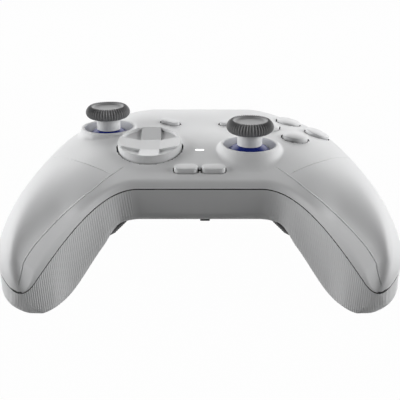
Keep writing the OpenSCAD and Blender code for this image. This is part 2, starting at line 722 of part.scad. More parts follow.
module dpad_cross() {
    color("#55585c") at_dpad() translate([0, 0, dpad_joint]) {
        rotate([0, 90, 0]) rod(1, -4.7, 4.7);
        rotate([90, 0, 0]) rod(1, -4.7, 4.7);
        translate([-1.4, -1.4, -1.4]) cube(2.8);
    }
}
module dpad_post() {
    drop = dpad_joint - 3.6;
    color("#d0d2d4") {
        at_dpad() translate([0, 0, dpad_joint]) {
            for (x = [-4.6, 3.4]) difference() {
                translate([x, -2, -4.4]) cube([1.2, 4, 6.1]);
                translate([x, 0, 0]) rotate([0, 90, 0]) rod(1 + fit, -1, 3);
            }
            translate([-4.6, -2.6, -4.4]) cube([9.2, 5.2, 1.6]);
        }
        translate([-dpad_x, dpad_y - drop * sin(dpad_lean), 0])
            rod(2.5, board_top + 0.05, dpad_top + drop * cos(dpad_lean));
    }
}

// Round face buttons with a flange under the face
module face_button(place, seat) {
    under = -wall - 1.5;
    color("#dfe0e1") at_face(place) {
        intersection() {
            rod(face_radius, under - 1.2, face_rise);
            translate([0, 0, face_rise - 16]) sphere(r = 16, $fn = 120);
        }
        rod(face_radius + 0.8, under - 1.2, under);
        rod(stem_radius, face_foot(place, seat) + stem_radius * tan(face_roll(place)), under - 1);
    }
}
module button_a() { face_button(face_a, board_top); }
module button_b() { face_button(face_b, board_top); }
module button_x() { face_button(face_c, board_top); }
module button_y() { face_button(face_d, ledge_top); }

// Small long buttons with a flange under the face
module small_button(foot) {
    translate([0, 0, -4.8]) pill(pill_length, pill_width, 4.8 + pill_rise);
    translate([0, 0, -4.8]) pill(pill_length + 1.6, pill_width + 1.6, 1);
    translate([0, 0, foot]) cylinder(r = 1.6, h = -4 - foot);
}
module view_button() { color("#dfe0e1") at_pill(-1) small_button(stem_foot - pill_z); }
module menu_button() { color("#dfe0e1") at_pill(1) small_button(stem_foot - pill_z); }
module fn_button() { color("#e6e7e8") at_low_pill(-1) small_button(stem_foot - low_pill_z); }
module home_button() { color("#e6e7e8") at_low_pill(1) small_button(stem_foot - low_pill_z); }

// Rubber domes on the board under the buttons
module key_dome(place, seat = board_top) {
    translate([place[0], place[1], seat + 0.05]) rotate_extrude() polygon([
        [0, 0], [3.6, 0], [3.6, 0.8], [2.2, 3.8], [2, dome_height - 0.05], [0, dome_height - 0.05]
    ]);
}
module face_membrane() {
    color("#e3e0d8") {
        for (p = [face_a, face_b, face_c]) key_dome(dome_under(p, board_top));
        key_dome(key_ledge, ledge_top);
        for (p = [[-1, 0], [1, 0], [0, -1]])
            translate([face_x, face_y, board_top + 0.05])
                rotate([0, 0, atan2(p[1], p[0])]) translate([0, -1.5, 0]) cube([face_spread, 3, 0.8]);
    }
}
module small_membranes() {
    color("#e3e0d8") for (side = [-1, 1]) {
        foot = (stem_foot - pill_z) * sin(pill_lean);
        key_dome([side * pill_x, pill_y - foot]);
        low_foot = (stem_foot - low_pill_z) * sin(low_pill_lean);
        key_dome([side * low_pill_x, low_pill_y - low_foot]);
    }
}
module dpad_membrane() {
    color("#e3e0d8") for (p = dpad_keys)
        key_dome([p[0] - dpad_x, dpad_y + p[1] * cos(dpad_lean) - key_foot(p) * sin(dpad_lean)]);
}

// Shoulder buttons and triggers
module bumper() {
    color("#dcdddf") difference() {
        translate([0, 0, bumper_low]) bumper_form(0, bumper_height);
        translate(bumper_pin) rod(bumper_pin_radius + fit, 20, 60);
    }
}
module right_bumper() { bumper(); }
module left_bumper() { mirror([1, 0, 0]) bumper(); }
module bumper_pins() {
    color("#a9abae") mirrored()
        translate(bumper_pin) rod(bumper_pin_radius, bumper_low - 3.8, bumper_low + bumper_height + 2);
}

trigger_front = [[50.2, 32.2], [57, 32.2], [57.4, 25], [55.2, 19], [53.4, 12], [54.7, 5],
    [58.4, 0.5], [58.2, 0]];
trigger_back = [[55.8, 0], [54.2, 1], [50.4, 6], [50.4, 13], [52.6, 20], [52.6, 29.2]];
module trigger() {
    blade = concat(
        [for (k = [0 : 24]) guided(trigger_front, k / 24)],
        [for (k = [0 : 16]) guided(trigger_back, k / 16)],
        [[trigger_pivot_y + 3, 29.2], [trigger_pivot_y + 3, 32]]);
    cheek = [[trigger_pivot_y - 3.4, 27], [trigger_pivot_y, 32], [54.6, 32],
        [54.2, 26], [51.8, 14], [51.6, 8], [45.5, 15]];
    w = trigger_width / 2;
    color("#dcdddf") translate([trigger_x, 0, 0]) difference() {
        union() {
            translate([-w, 0, 0]) side_plate(2 * w) polygon(blade);
            translate([-w, 0, 0]) side_plate(1.8) polygon(cheek);
            translate([w - 1.8, 0, 0]) side_plate(1.8) polygon(cheek);
            translate([0, trigger_pivot_y, trigger_pivot_z]) rotate([0, 90, 0]) {
                rod(4, -w, -w + trigger_boss);
                rod(4, w - trigger_boss, w);
            }
        }
        translate([0, trigger_pivot_y, trigger_pivot_z])
            rotate([0, 90, 0]) rod(trigger_pin + fit, -w - 1, w + 1);
    }
}
module side_plate(thick) {
    rotate([90, 0, 90]) linear_extrude(thick) children();
}
module right_trigger() { trigger(); }
module left_trigger() { mirror([1, 0, 0]) trigger(); }
module trigger_pins() {
    color("#a9abae") mirrored()
        translate([trigger_x, trigger_pivot_y, trigger_pivot_z])
            rotate([0, 90, 0]) rod(trigger_pin, -trigger_width / 2 - 2, trigger_width / 2 + 2);
}
module trigger_springs() {
    spring_half = trigger_width / 2 - trigger_boss - 0.4;
    color("#8d9094") mirrored()
        translate([trigger_x, trigger_pivot_y, trigger_pivot_z]) rotate([0, 90, 0]) difference() {
            rod(2.4, -spring_half, spring_half);
            rod(trigger_pin + fit, -trigger_width, trigger_width);
        }
}

// Back buttons and the slide switch underneath
module paddle() {
    color("#4a4b4e") at_paddle() {
        translate([0, 0, -2.6]) pill(paddle_length, paddle_width, 7.2);
        translate([0, 0, 3.6]) pill(paddle_length + 1.4, paddle_width + 1.4, 1);
    }
}
module right_paddle() { paddle(); }
module left_paddle() { mirror([1, 0, 0]) paddle(); }
module mode_switch() {
    color("#3c3d40") at_switch() {
        translate([-2, -1.2, -1.4]) cube([4, 2.4, 4.4]);
        translate([-4, -2.2, 2.6]) cube([8, 4.4, 0.9]);
    }
}
module switch_body() {
    color("#8f9296") at_switch() difference() {
        translate([-7, -3.2, 2.3]) cube([14, 6.4, switch_height]);
        translate([-5.4, -2.5, 2]) cube([10.8, 5, 1.8]);
    }
}

// Board, battery, motors and fastenings
module main_board() {
    color("#1d5a3a") difference() {
        translate([0, 0, board_under]) linear_extrude(board_thick) polygon([
            [-board_neck, -19.6], [board_neck, -19.6], [board_neck, 6], [board_side, 12], [board_side, 30.6],
            [13, 30.6], [12.4, rear_edge - 5], [-12.4, rear_edge - 5], [-13, 30.6], [-board_side, 30.6],
            [-board_side, 12], [-board_neck, 6]
        ]);
        mirrored() {
            translate(board_screw_front) rod(1.1, 0, 60);
            translate(board_screw_rear) rod(1.1, 0, 60);
        }
    }
}
module usb_socket() {
    color("#b9bcc0") translate([0, rear_edge - 9.5, usb_z]) rotate([-90, 0, 0]) difference() {
        pill(9, 3.2, 8);
        translate([0, 0, 1.5]) difference() {
            pill(8.4, 2.6, 8);
            translate([-3.2, -0.35, -1]) cube([6.4, 0.7, 7]);
        }
    }
}
module battery() {
    color("#3f5f8f") translate([-battery_length / 2, battery_y - battery_width / 2, battery_base])
        cube([battery_length, battery_width, battery_thick]);
}
module rumble_motor() {
    color("#a4a7ab") at_motor() {
        rod(motor_radius, -motor_length / 2, motor_length / 2);
        rod(1, motor_length / 2 - 1, motor_length / 2 + 8);
    }
}
module rumble_weight() {
    color("#6c6f73") at_motor() translate([0, 0, motor_length / 2 + 1]) difference() {
        union() {
            intersection() {
                rod(weight_radius, 0, 6);
                translate([-weight_radius, -weight_radius, 0]) cube([2 * weight_radius, weight_radius, 6]);
            }
            rod(2.4, 0, 6);
        }
        rod(1 + fit, -1, 8);
    }
}
module right_rumble_motor() { rumble_motor(); }
module left_rumble_motor() { mirror([1, 0, 0]) rumble_motor(); }
module right_rumble_weight() { rumble_weight(); }
module left_rumble_weight() { mirror([1, 0, 0]) rumble_weight(); }
module screw(head, r, length) {
    rod(head, -1.8, 0);
    rod(r, -0.5, length);
}
module shell_screws() {
    color("#77797c") mirrored() {
    translate([grip_screw[0], grip_screw[1], grip_seat - fit])
            screw(screw_head, 1.08, grip_boss + screw_grip - grip_seat);
        translate([rear_screw[0], rear_screw[1], rear_seat - fit])
            screw(screw_head, 1.08, rear_boss + screw_grip + 2 - rear_seat);
    }
}
module board_screws() {
    color("#77797c") mirrored() for (p = [board_screw_front, board_screw_rear])
        translate([p[0], p[1], board_top + 0.05]) mirror([0, 0, 1]) screw(1.9, 0.83, 6.5);
}

upper_shell();
lower_shell();
status_light();
left_stick_cap();
left_stick_post();
left_stick_dome();
left_stick_lever();
left_stick_yoke();
left_stick_rocker();
left_stick_housing();
left_stick_sensors();
right_stick_cap();
right_stick_post();
right_stick_dome();
right_stick_lever();
right_stick_yoke();
right_stick_rocker();
right_stick_housing();
right_stick_sensors();
dpad_cap();
dpad_cross();
dpad_post();
dpad_membrane();
button_a();
button_b();
button_x();
button_y();
face_membrane();
view_button();
menu_button();
fn_button();
home_button();
small_membranes();
left_bumper();
right_bumper();
bumper_pins();
left_trigger();
right_trigger();
trigger_pins();
trigger_springs();
left_paddle();
right_paddle();
mode_switch();
switch_body();
main_board();
usb_socket();
battery();
left_rumble_motor();
right_rumble_motor();
left_rumble_weight();
right_rumble_weight();
shell_screws();
board_screws();
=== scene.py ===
# Looks of a white two-handed game controller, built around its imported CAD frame.
import json
import math

import bmesh
import bpy
import numpy as np
from mathutils import Matrix, Vector

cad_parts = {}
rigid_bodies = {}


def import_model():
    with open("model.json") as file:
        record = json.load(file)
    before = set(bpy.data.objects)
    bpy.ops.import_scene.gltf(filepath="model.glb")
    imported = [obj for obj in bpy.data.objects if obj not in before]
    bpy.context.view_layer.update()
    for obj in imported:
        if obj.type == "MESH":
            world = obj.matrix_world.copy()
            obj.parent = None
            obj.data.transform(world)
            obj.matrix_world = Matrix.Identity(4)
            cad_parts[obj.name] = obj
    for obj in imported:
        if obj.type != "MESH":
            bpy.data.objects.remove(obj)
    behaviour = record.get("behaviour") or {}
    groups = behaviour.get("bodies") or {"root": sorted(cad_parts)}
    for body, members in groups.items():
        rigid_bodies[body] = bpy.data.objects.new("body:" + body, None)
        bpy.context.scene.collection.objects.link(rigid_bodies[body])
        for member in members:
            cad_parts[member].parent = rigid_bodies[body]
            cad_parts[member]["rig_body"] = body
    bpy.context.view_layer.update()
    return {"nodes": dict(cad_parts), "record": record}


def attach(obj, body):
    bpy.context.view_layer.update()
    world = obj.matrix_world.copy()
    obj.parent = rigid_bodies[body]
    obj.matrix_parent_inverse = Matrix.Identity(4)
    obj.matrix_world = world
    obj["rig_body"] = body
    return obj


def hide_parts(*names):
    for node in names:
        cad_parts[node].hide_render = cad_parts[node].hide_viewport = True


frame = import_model()
nodes = frame["nodes"]
scene = bpy.context.scene
MM = 0.001
UP = np.array([0.0, 0.0, 1.0])

# Form of the two shells in millimetres: the part's numbers, with the side rail drawn in a little at the grips
WALL = 1.9
LINING_END = 0.95
LINING_LEAST = 0.3
SEAM_GAP = 0.45
BAND = 3.0
FULL_BREADTH = 14
UPPER_CLOSE = (0.8, 2.5)
LOWER_CLOSE = (0.82, 3)
BEND_1 = 0.30
BEND_2 = 0.52
TIP = np.array([62.3, -56.5, 10.5])
IN_RAIL = np.array([[0, -24, 38.5], [24, -24, 38.5], [40, -24, 38.5], [50.7, -49.5, 26.2], TIP])
OUT_RAIL = np.array([[0, 51.5, 40.5], [22, 51.5, 40.5], [43, 51.5, 40], [53.7, 42.5, 37.5],
                     [59.5, 30, 35.7], [66, 13, 33.5], [91.6, -52.5, 19.1], TIP])
STATIONS = [BEND_1, 0.40, BEND_2, 0.72, 0.88, 1]
FORM = {
    "lean_x": [0, 0.01, 0.05, 0.12, 0.16, 0.16],
    "lean_y": [0, -0.03, -0.12, -0.42, -0.5, -0.5],
    "brow_in": [13, 12.5, 11, 3, 2, 1],
    "brow_up": [5.3, 5.6, 6.5, 8, 8, 7],
    "crown_at": [0.577, 0.57, 0.55, 0.48, 0.45, 0.45],
    "crown_up": [8.6, 10, 10.7, 14.3, 13, 11],
    "edge_up": [12.3, 9.1, 8.9, 10.8, 6, 5],
    "edge_in": [1, 2.1, 2, 6.5, 4.4, 2],
    "side_up": [6.5, 6.2, 6.1, 4.4, 3, 3],
    "chine_in": [2.7, 2.7, 0, -0.3, -2.9, -2.9],
    "chine_down": [14.3, 14.3, 18.4, 23.8, 16.8, 12],
    "floor_in": [9.3, 9.3, 7, 4, 4.2, 4],
    "floor_down": [3.2, 3.2, 3.5, 1.2, 0.2, 0.2],
    "belly_at": [0.52, 0.51, 0.5, 0.45, 0.45, 0.45],
    "belly_z": [11.5, 10.5, 8, 1.2, -0.8, -1.3],
    "heel_out": [-5.5, -5.7, -6, -2, 0.3, -1],
    "heel_down": [30.5, 29.4, 27, 23, 12.3, 9.4],
    "flank_down": [14.5, 14.1, 13, 10, 6.5, 4.3],
}

# Thumb sticks: place, height of the pivot, dome, and the rings around their openings
LEFT_STICK = (-41.0, 22.8)
RIGHT_STICK = (20.8, -0.8)
STICK_PIVOT = 36.6
DOME = 13.6
LEFT_RIM = 50.3
RIGHT_RIM = 49.6
RING = 10.8
LIP = 1.5

# Stick openings: place, top, reach and fall of the collar, and depth of the lip in it
STICK_OPENINGS = ((LEFT_STICK, LEFT_RIM, 2.8, 4.6, 4.6), (RIGHT_STICK, RIGHT_RIM, 4.6, 5.2, 6.4))

# Direction pad and round buttons: each button's axis meets the face at x, y, z and rolls by an angle
PAD_RADIUS = 13.3
PAD_HOLE = 13.85
FACE_KEYS = {
    "a": (41.5, 10.8, 48.346, 4.34),
    "b": (53.1, 22.8, 46.13, 19.855),
    "x": (30.5, 23.4, 49.636, 2.905),
    "y": (41.5, 34.8, 48.111, 10.158),
}
FACE_RADIUS = 5.45
KEY_GAP = 0.45

# Small buttons: length and width, and the height of the face at the rear and the front pair
PILL_LENGTH = 9.4
PILL_WIDTH = 4.3
REAR_PILL_Z = 50.263
FRONT_PILL_Z = 44.124

# Room of the shoulder buttons: pin, edges beside the outer rail, thinning, levels and swings
BUMPER_PIN = np.array([24.0, 44.0])
BUMPER_OUT = 1.15
BUMPER_IN = -5.55
BUMPER_THIN = 3
BUMPER_LOW = 32.65
BUMPER_HIGH = 42.85
BUMPER_SWINGS = (0, 1.5, 3)

# Trigger pockets and shell screws
POCKET_NEAR = 32.3
POCKET_FAR = 55.7
POCKET_FRONT = 32.7
POCKET_TOP = 32.7
GRIP_SCREW = (62.5, -37)
REAR_SCREW = (17.6, 44)
SCREW_WELL = 4
SCREW_HOLE = 2.7

# Levels that the stems of the buttons reach down to
STEM_FOOT = 36.0
HIGH_STEM_FOOT = 40.3


# Rails and sections of the shells
def bezier(p, t):
    return (1 - t) ** 3 * p[0] + 3 * (1 - t) ** 2 * t * p[1] + 3 * (1 - t) * t * t * p[2] + t ** 3 * p[3]


def front_rail(s):
    return bezier(IN_RAIL[1:5], (s - BEND_1) / (1 - BEND_1))


def side_rail(s):
    return bezier(OUT_RAIL[4:8], (s - BEND_2) / (1 - BEND_2))


def heading(rail, s):
    step = rail(s + 1e-4) - rail(s)
    return step / np.linalg.norm(step)


# The seam rounds the tip of a grip from the front rail to the side rail
NOSE_FROM = 0.93
NOSE_DROP = np.array([0, 0.5, -0.8])
FRONT_PULL = 7.5
SIDE_PULL = 9.5
FRONT_PACE = 0.57
SIDE_PACE = 0.81
NOSE = np.array([
    front_rail(NOSE_FROM),
    front_rail(NOSE_FROM) + FRONT_PULL * heading(front_rail, NOSE_FROM) + NOSE_DROP,
    side_rail(NOSE_FROM) + SIDE_PULL * heading(side_rail, NOSE_FROM) + NOSE_DROP,
    side_rail(NOSE_FROM),
])


def half_nose(s, pace):
    """How far a rail has come towards the middle of the nose, from the pace it starts at."""
    t = (s - NOSE_FROM) / (1 - NOSE_FROM)
    return (pace * t + (1 - pace) * t * t) / 2


def rail_in(s):
    if s < BEND_1:
        return IN_RAIL[0] + (IN_RAIL[1] - IN_RAIL[0]) * s / BEND_1
    if s < NOSE_FROM:
        return front_rail(s)
    return bezier(NOSE, half_nose(s, FRONT_PACE))


def rail_out(s):
    if s < BEND_1:
        return OUT_RAIL[0] + (OUT_RAIL[1] - OUT_RAIL[0]) * s / BEND_1
    if s < BEND_2:
        return bezier(OUT_RAIL[1:5], (s - BEND_1) / (BEND_2 - BEND_1))
    if s < NOSE_FROM:
        return side_rail(s)
    return bezier(NOSE, 1 - half_nose(s, SIDE_PACE))


def along(name, s):
    """A measure of the form at the place s, smooth through its values at the stations."""
    v = FORM[name]
    if s <= STATIONS[0]:
        return v[0]
    last = len(STATIONS) - 1
    k = 0
    while k < last - 1 and s >= STATIONS[k + 1]:
        k += 1

    def step(i):
        return (v[i + 1] - v[i]) / (STATIONS[i + 1] - STATIONS[i])

    def slope(i):
        if i == 0:
            return 0
        if i == last:
            return step(last - 1)
        a, b = step(i), step(i - 1)
        return 0 if a * b <= 0 else 2 * a * b / (a + b)

    h = STATIONS[k + 1] - STATIONS[k]
    t = (s - STATIONS[k]) / h
    return ((1 + 2 * t) * (1 - t) ** 2 * v[k] + t * (1 - t) ** 2 * h * slope(k)
            + t * t * (3 - 2 * t) * v[k + 1] + t * t * (t - 1) * h * slope(k + 1))


def blunt(q, start, power):
    return 1.0 if q < start else max(0.0, 1 - ((q - start) / (1 - start)) ** power) ** (1 / power)


def closing(q, start, power):
    """Share of a section's height that is left near the tip: blunt at first, then round over the nose."""
    if q < NOSE_FROM:
        return blunt(q, start, power)
    t = (q - NOSE_FROM) / (1 - NOSE_FROM)
    ahead = 0.001
    left = blunt(NOSE_FROM, start, power)
    fall = 1 - blunt(NOSE_FROM + ahead, start, power) / left
    fall *= (1 - NOSE_FROM) / ahead
    return left * (1 - fall * t - (1 - fall) * t * t)


def unit(v):
    length = np.linalg.norm(v)
    return v / length if length > 1e-9 else np.array([1.0, 0, 0])


def guided(points, t):
    """Points at t on a smooth line that the given points pull along."""
    p = np.array(points)
    n = len(p) - 2
    u = np.minimum(np.asarray(t, float) * n, n - 1e-9)
    k = u.astype(int)
    w = (u - k)[:, None]
    a = np.where((k == 0)[:, None], p[0], (p[k] + p[k + 1]) / 2)
    b = np.where((k == n - 1)[:, None], p[n + 1], (p[k + 1] + p[np.minimum(k + 2, n + 1)]) / 2)
    return (1 - w) ** 2 * a + 2 * w * (1 - w) * p[k + 1] + w * w * b


def breadth(i0, o0, d):
    """Share of their full width that the details of a narrow section keep."""
    return min(1, (np.linalg.norm(o0 - i0) - 2 * d) / FULL_BREADTH)


def upper_guide(q, d, end, least):
    """The seam ends and the guiding points of one section of the upper shell, at the depth d in the wall."""
    s = q * end
    b = max(least, closing(q, *UPPER_CLOSE))
    i0, o0 = rail_in(s), rail_out(s)
    c = unit(o0 - i0)
    w = breadth(i0, o0, d)
    n = unit(np.array([along("lean_x", s), along("lean_y", s), 1]))
    i, o = i0 + c * d, o0 - c * d
    k0 = i0 + c * w + UP * BAND * w
    m = along("crown_at", s)
    k = k0 + c * d - UP * 0.6 * d
    f = k0 + c * (along("brow_in", s) * w + 0.35 * d) + n * (along("brow_up", s) - 0.95 * d)
    g = k0 + (o0 - k0) * m + n * (along("crown_up", s) - d)
    r = o0 + n * (along("edge_up", s) - d) - c * (along("edge_in", s) * w + 0.6 * d)
    e = o + n * along("side_up", s)
    base = i + (o - i) * m
    guide = [i + (k - i) * b, i + (f - i) * b, base + (g - base) * b, o + (r - o) * b, o + (e - o) * b, o]
    return i, o, guide


def upper_line(q, d, end, least, count):
    """One section of the upper shell from the front seam over the face to the rear seam."""
    i, o, guide = upper_guide(q, d, end, least)
    k = guide[0]
    rise = np.linalg.norm(k - i)
    if rise < 1e-6:
        return np.repeat(o[None], count, 0)
    soft = min(1.1, 0.4 * rise)
    start = soft / (8 * max(np.linalg.norm(guide[1] - k), 1e-6))
    a, z = k + (i - k) * soft / rise, guided(guide, [start])[0]
    t = np.linspace(0, 1, 5)[:4, None]
    u = np.linspace(0, 1, 7)[:6, None]
    return np.vstack([i + (a - i) * t, (1 - u) ** 2 * a + 2 * u * (1 - u) * k + u * u * z,
                      guided(guide, np.linspace(start, 1, count - 10))])


def lower_line(q, d, end, least, count):
    """One section of the lower shell from the front seam under the belly to the rear seam."""
    s = q * end
    b = max(least, closing(q, *LOWER_CLOSE))
    i0, o0 = rail_in(s) - UP * SEAM_GAP, rail_out(s) - UP * SEAM_GAP
    c = unit(o0 - i0)
    w = breadth(i0, o0, d)
    i, o, m = i0 + c * d, o0 - c * d, along("belly_at", s)
    e0 = i0 + c * along("chine_in", s) - UP * along("chine_down", s)
    x = i0 + (e0 - i0) * 0.45 + c * d
    e = e0 + c * 0.9 * d + UP * 0.6 * d
    f = e0 + c * (along("floor_in", s) * w + 0.2 * d) + UP * (d - along("floor_down", s))
    g = i0 + (o0 - i0) * m
    g[2] = along("belly_z", s) + d
    h = o0 + c * (along("heel_out", s) * w - 0.8 * d) + UP * (0.8 * d - along("heel_down", s))
    l = o - UP * along("flank_down", s)
    base = i + (o - i) * m
    guide = [i, i + (x - i) * b, i + (e - i) * b, i + (f - i) * b, base + (g - base) * b,
             o + (h - o) * b, o + (l - o) * b, o]
    return guided(guide, np.linspace(0, 1, count))


def rim_height(r, top, reach, fall):
    """Height of the collar around a stick opening at the distance r from its axis."""
    t = (r - RING - 0.9) / reach
    s = np.clip(t, 0, 1)
    return top - 0.05 - fall * s * s * (3 - 2 * s) - np.maximum(t - 1, 0) * fall * 1.5


def soft_max(a, b, k):
    h = np.clip(0.5 + 0.5 * (b - a) / k, 0, 1)
    return a + (b - a) * h + k * h * (1 - h)


def with_collars(p):
    """Upper-shell points with the two stick collars blended in."""
    p = p.copy()
    for (x, y), top, reach, fall, _ in STICK_OPENINGS:
        r = np.hypot(p[:, 0] - x, p[:, 1] - y)
        near = (r < RING + 12) & (p[:, 2] > 30)
        p[near, 2] = soft_max(p[near, 2], rim_height(r[near], top, reach, fall), 0.9)
    return p


MIDDLE_ROWS = 112
GRIP_ROWS = 88


def row_place(h):
    """Place of a row of the shells: evenly over the middle, then closer towards the tip."""
    if h <= MIDDLE_ROWS:
        return BEND_2 * h / MIDDLE_ROWS
    return BEND_2 + (1 - BEND_2) * (1 - (1 - (h - MIDDLE_ROWS) / GRIP_ROWS) ** 1.5)


# Mesh helpers
def grid_to(bm, table):
    """A grid of quads laid over a table of points in millimetres, rows by columns."""
    rows, columns = table.shape[:2]
    made = bmesh.ops.create_grid(bm, x_segments=rows - 1, y_segments=columns - 1, size=0.5)["verts"]
    for v in made:
        i = round((v.co.x + 0.5) * (rows - 1))
        j = round((v.co.y + 0.5) * (columns - 1))
        v.co = Vector(table[i, j] * MM)


def close_up(bm, gap=1e-7):
    """Merges doubles, closes holes and turns the faces outwards."""
    bmesh.ops.remove_doubles(bm, verts=bm.verts[:], dist=gap)
    bmesh.ops.dissolve_degenerate(bm, edges=bm.edges[:], dist=gap)
    bmesh.ops.holes_fill(bm, edges=[e for e in bm.edges if e.is_boundary], sides=0)
    bmesh.ops.recalc_face_normals(bm, faces=bm.faces[:])


def shell_solid(line, outer_count, inner_count, shape=None, fill=False):
    """A closed shell, or with fill a solid to the middle of the wall, as a bmesh."""
    rows = []
    last = MIDDLE_ROWS + GRIP_ROWS
    for h in range(-last, last + 1):
        q = row_place(abs(h))
        if fill:
            out = line(q, WALL / 2, LINING_END, LINING_LEAST, outer_count)
            back = out[-1] + (out[0] - out[-1]) * np.linspace(0, 1, 4)[1:, None]
        else:
            out = line(q, 0, 1, 0, outer_count)
            back = line(q, WALL, LINING_END, LINING_LEAST, inner_count)[::-1]
        side = np.array([-1.0 if h < 0 else 1.0, 1, 1])
        out = out * side
        if shape is not None:
            out = shape(out)
        back = back * side
        rows.append(np.vstack([out, back] if fill else [out, back, out[:1]]))
    bm = bmesh.new()
    grid_to(bm, np.array(rows))
    close_up(bm)
    return bm


def mesh_object(name, bm):
    mesh = bpy.data.meshes.new(name)
    bm.to_mesh(mesh)
    bm.free()
    obj = bpy.data.objects.new(name, mesh)
    scene.collection.objects.link(obj)
    return obj


def carve(obj, tool, operation="DIFFERENCE"):
    """Joins, cuts or trims obj with the bmesh tool, and keeps the result as its mesh."""
    cutter = mesh_object("cutter", tool)
    mod = obj.modifiers.new("carve", "BOOLEAN")
    mod.operation = operation
    mod.solver = "MANIFOLD"
    mod.object = cutter
    bpy.context.view_layer.update()
    result = bpy.data.meshes.new_from_object(obj.evaluated_get(bpy.context.evaluated_depsgraph_get()))
    old = obj.data
    name = old.name
    obj.modifiers.clear()
    obj.data = result
    bpy.data.meshes.remove(old)
    result.name = name
    spare = cutter.data
    bpy.data.objects.remove(cutter)
    bpy.data.meshes.remove(spare)


def finish_piece(obj, material, body, replaces=(), sharp=34):
    """Gives a piece its finish, smooth shading, body and slot, and the nodes that it stands for."""
    mesh = obj.data
    mesh.materials.clear()
    mesh.materials.append(material)
    mesh.shade_smooth()
    mesh.set_sharp_from_angle(angle=math.radians(sharp))
    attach(obj, body)
    if replaces:
        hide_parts(*replaces)


RAIL_LINE = np.array([rail(s) for rail in (rail_in, rail_out) for s in np.linspace(0, 1, 500)])
SECOND_SLOT = 1
SEAM_FACING = 0.4
SEAM_REACH = 2.4
SEAM_LEVEL = 1.5


def paint_seam_shade(obj, facing, drop):
    """The narrow faces along the parting line, which look at the other shell, in a near-black colour that
    paints the shade of the seam gap.
    """
    obj.data.materials.append(PAINTED_GAP_SHADE)
    for face in obj.data.polygons:
        if face.normal.z * facing < SEAM_FACING:
            continue
        c = np.array(face.center) / MM
        away = np.abs(RAIL_LINE * [math.copysign(1, c[0]), 1, 1] - [0, 0, drop] - c)
        level = away[:, 2] < SEAM_LEVEL
        if np.hypot(away[:, 0], away[:, 1])[level].min(initial=9) < SEAM_REACH:
            face.material_index = SECOND_SLOT


def place(x=0.0, y=0.0, z=0.0, rx=0.0, ry=0.0, spin=0.0):
    """A turn about the piece's own axis, then about X and Y, then a move, in millimetres and degrees."""
    turn = (Matrix.Rotation(math.radians(ry), 4, "Y") @ Matrix.Rotation(math.radians(rx), 4, "X")
            @ Matrix.Rotation(math.radians(spin), 4, "Z"))
    return Matrix.Translation(Vector((x, y, z)) * MM) @ turn


def move(bm, matrix):
    bmesh.ops.transform(bm, matrix=matrix, verts=bm.verts[:])
    return bm


def rounded(points, radius, steps=5):
    """A profile with each inner corner eased over the radius."""
    out = [np.array(points[0], float)]
    for a, p, b in zip(points[:-2], points[1:-1], points[2:]):
        a, p, b = (np.array(v, float) for v in (a, p, b))
        ra = min(radius, 0.45 * np.linalg.norm(a - p))
        rb = min(radius, 0.45 * np.linalg.norm(b - p))
        start, end = p + unit(a - p) * ra, p + unit(b - p) * rb
        for t in np.linspace(0, 1, steps):
            out.append((1 - t) ** 2 * start + 2 * t * (1 - t) * p + t * t * end)
    out.append(np.array(points[-1], float))
    return out


def spun(profile, steps=96):
    """A solid turned from a profile of radius and height: from axis to axis, or a closed ring."""
    bm = bmesh.new()
    verts = [bm.verts.new((r * MM, 0, z * MM)) for r, z in profile]
    edges = [bm.edges.new(pair) for pair in zip(verts[:-1], verts[1:])]
    if profile[0][0] > 1e-6:
        edges.append(bm.edges.new((verts[-1], verts[0])))
    bmesh.ops.spin(bm, geom=verts + edges, cent=(0, 0, 0), axis=(0, 0, 1), angle=math.tau, steps=steps,
                   use_merge=True)
    close_up(bm)
    return bm


def rod(radius, low, high, steps=96):
    """An upright round bar between two levels."""
    bm = bmesh.new()
    bmesh.ops.create_cone(bm, cap_ends=True, segments=steps, radius1=radius * MM, radius2=radius * MM,
                          depth=(high - low) * MM)
    return move(bm, Matrix.Translation((0, 0, (low + high) / 2 * MM)))


def block(low, high):
    """A box between two corners."""
    low, high = Vector(low) * MM, Vector(high) * MM
    bm = bmesh.new()
    spread = Matrix.Diagonal((*(high - low), 1))
    bmesh.ops.create_cube(bm, size=1, matrix=Matrix.Translation((low + high) / 2) @ spread)
    return bm


def soften_edges(bm, edges, width, segments=4):
    bmesh.ops.bevel(bm, geom=edges, offset=width * MM, offset_type="OFFSET", affect="EDGES",
                    segments=segments, profile=0.5, material=-1, clamp_overlap=True)


def raise_faces(bm, faces, height):
    """Draws the faces out upwards into a closed solid."""
    made = bmesh.ops.extrude_face_region(bm, geom=faces)["geom"]
    tops = [g for g in made if isinstance(g, bmesh.types.BMVert)]
    bmesh.ops.translate(bm, verts=tops, vec=(0, 0, height * MM))
    bmesh.ops.recalc_face_normals(bm, faces=bm.faces[:])


def pill(length, width, low, high, top_round=0.0, steps=48):
    """A long round-ended bar between two levels, with the top edge eased if asked."""
    bm = bmesh.new()
    bmesh.ops.create_circle(bm, cap_ends=True, radius=width / 2 * MM, segments=steps)
    for v in bm.verts:
        if abs(v.co.x) > 1e-8:
            v.co.x += math.copysign((length - width) / 2 * MM, v.co.x)
    raise_faces(bm, bm.faces[:], high - low)
    if top_round:
        edge = (high - low) * MM - 1e-8
        soften_edges(bm, [e for e in bm.edges if all(v.co.z > edge for v in e.verts)], top_round, 6)
    return move(bm, Matrix.Translation((0, 0, low * MM)))


def prism(points, low, high):
    """An upright solid between two levels over an outline."""
    bm = bmesh.new()
    face = bm.faces.new([bm.verts.new((x * MM, y * MM, low * MM)) for x, y in points])
    raise_faces(bm, [face], high - low)
    return bm


def joined(*parts):
    """Several shapes in one bmesh."""
    bm = bmesh.new()
    for part in parts:
        spare = bpy.data.meshes.new("spare")
        part.to_mesh(spare)
        part.free()
        bm.from_mesh(spare)
        bpy.data.meshes.remove(spare)
    return bm


def both_sides(make):
    """What make(side) gives for the right side, +1, and for the left side, -1."""
    return joined(make(1), make(-1))


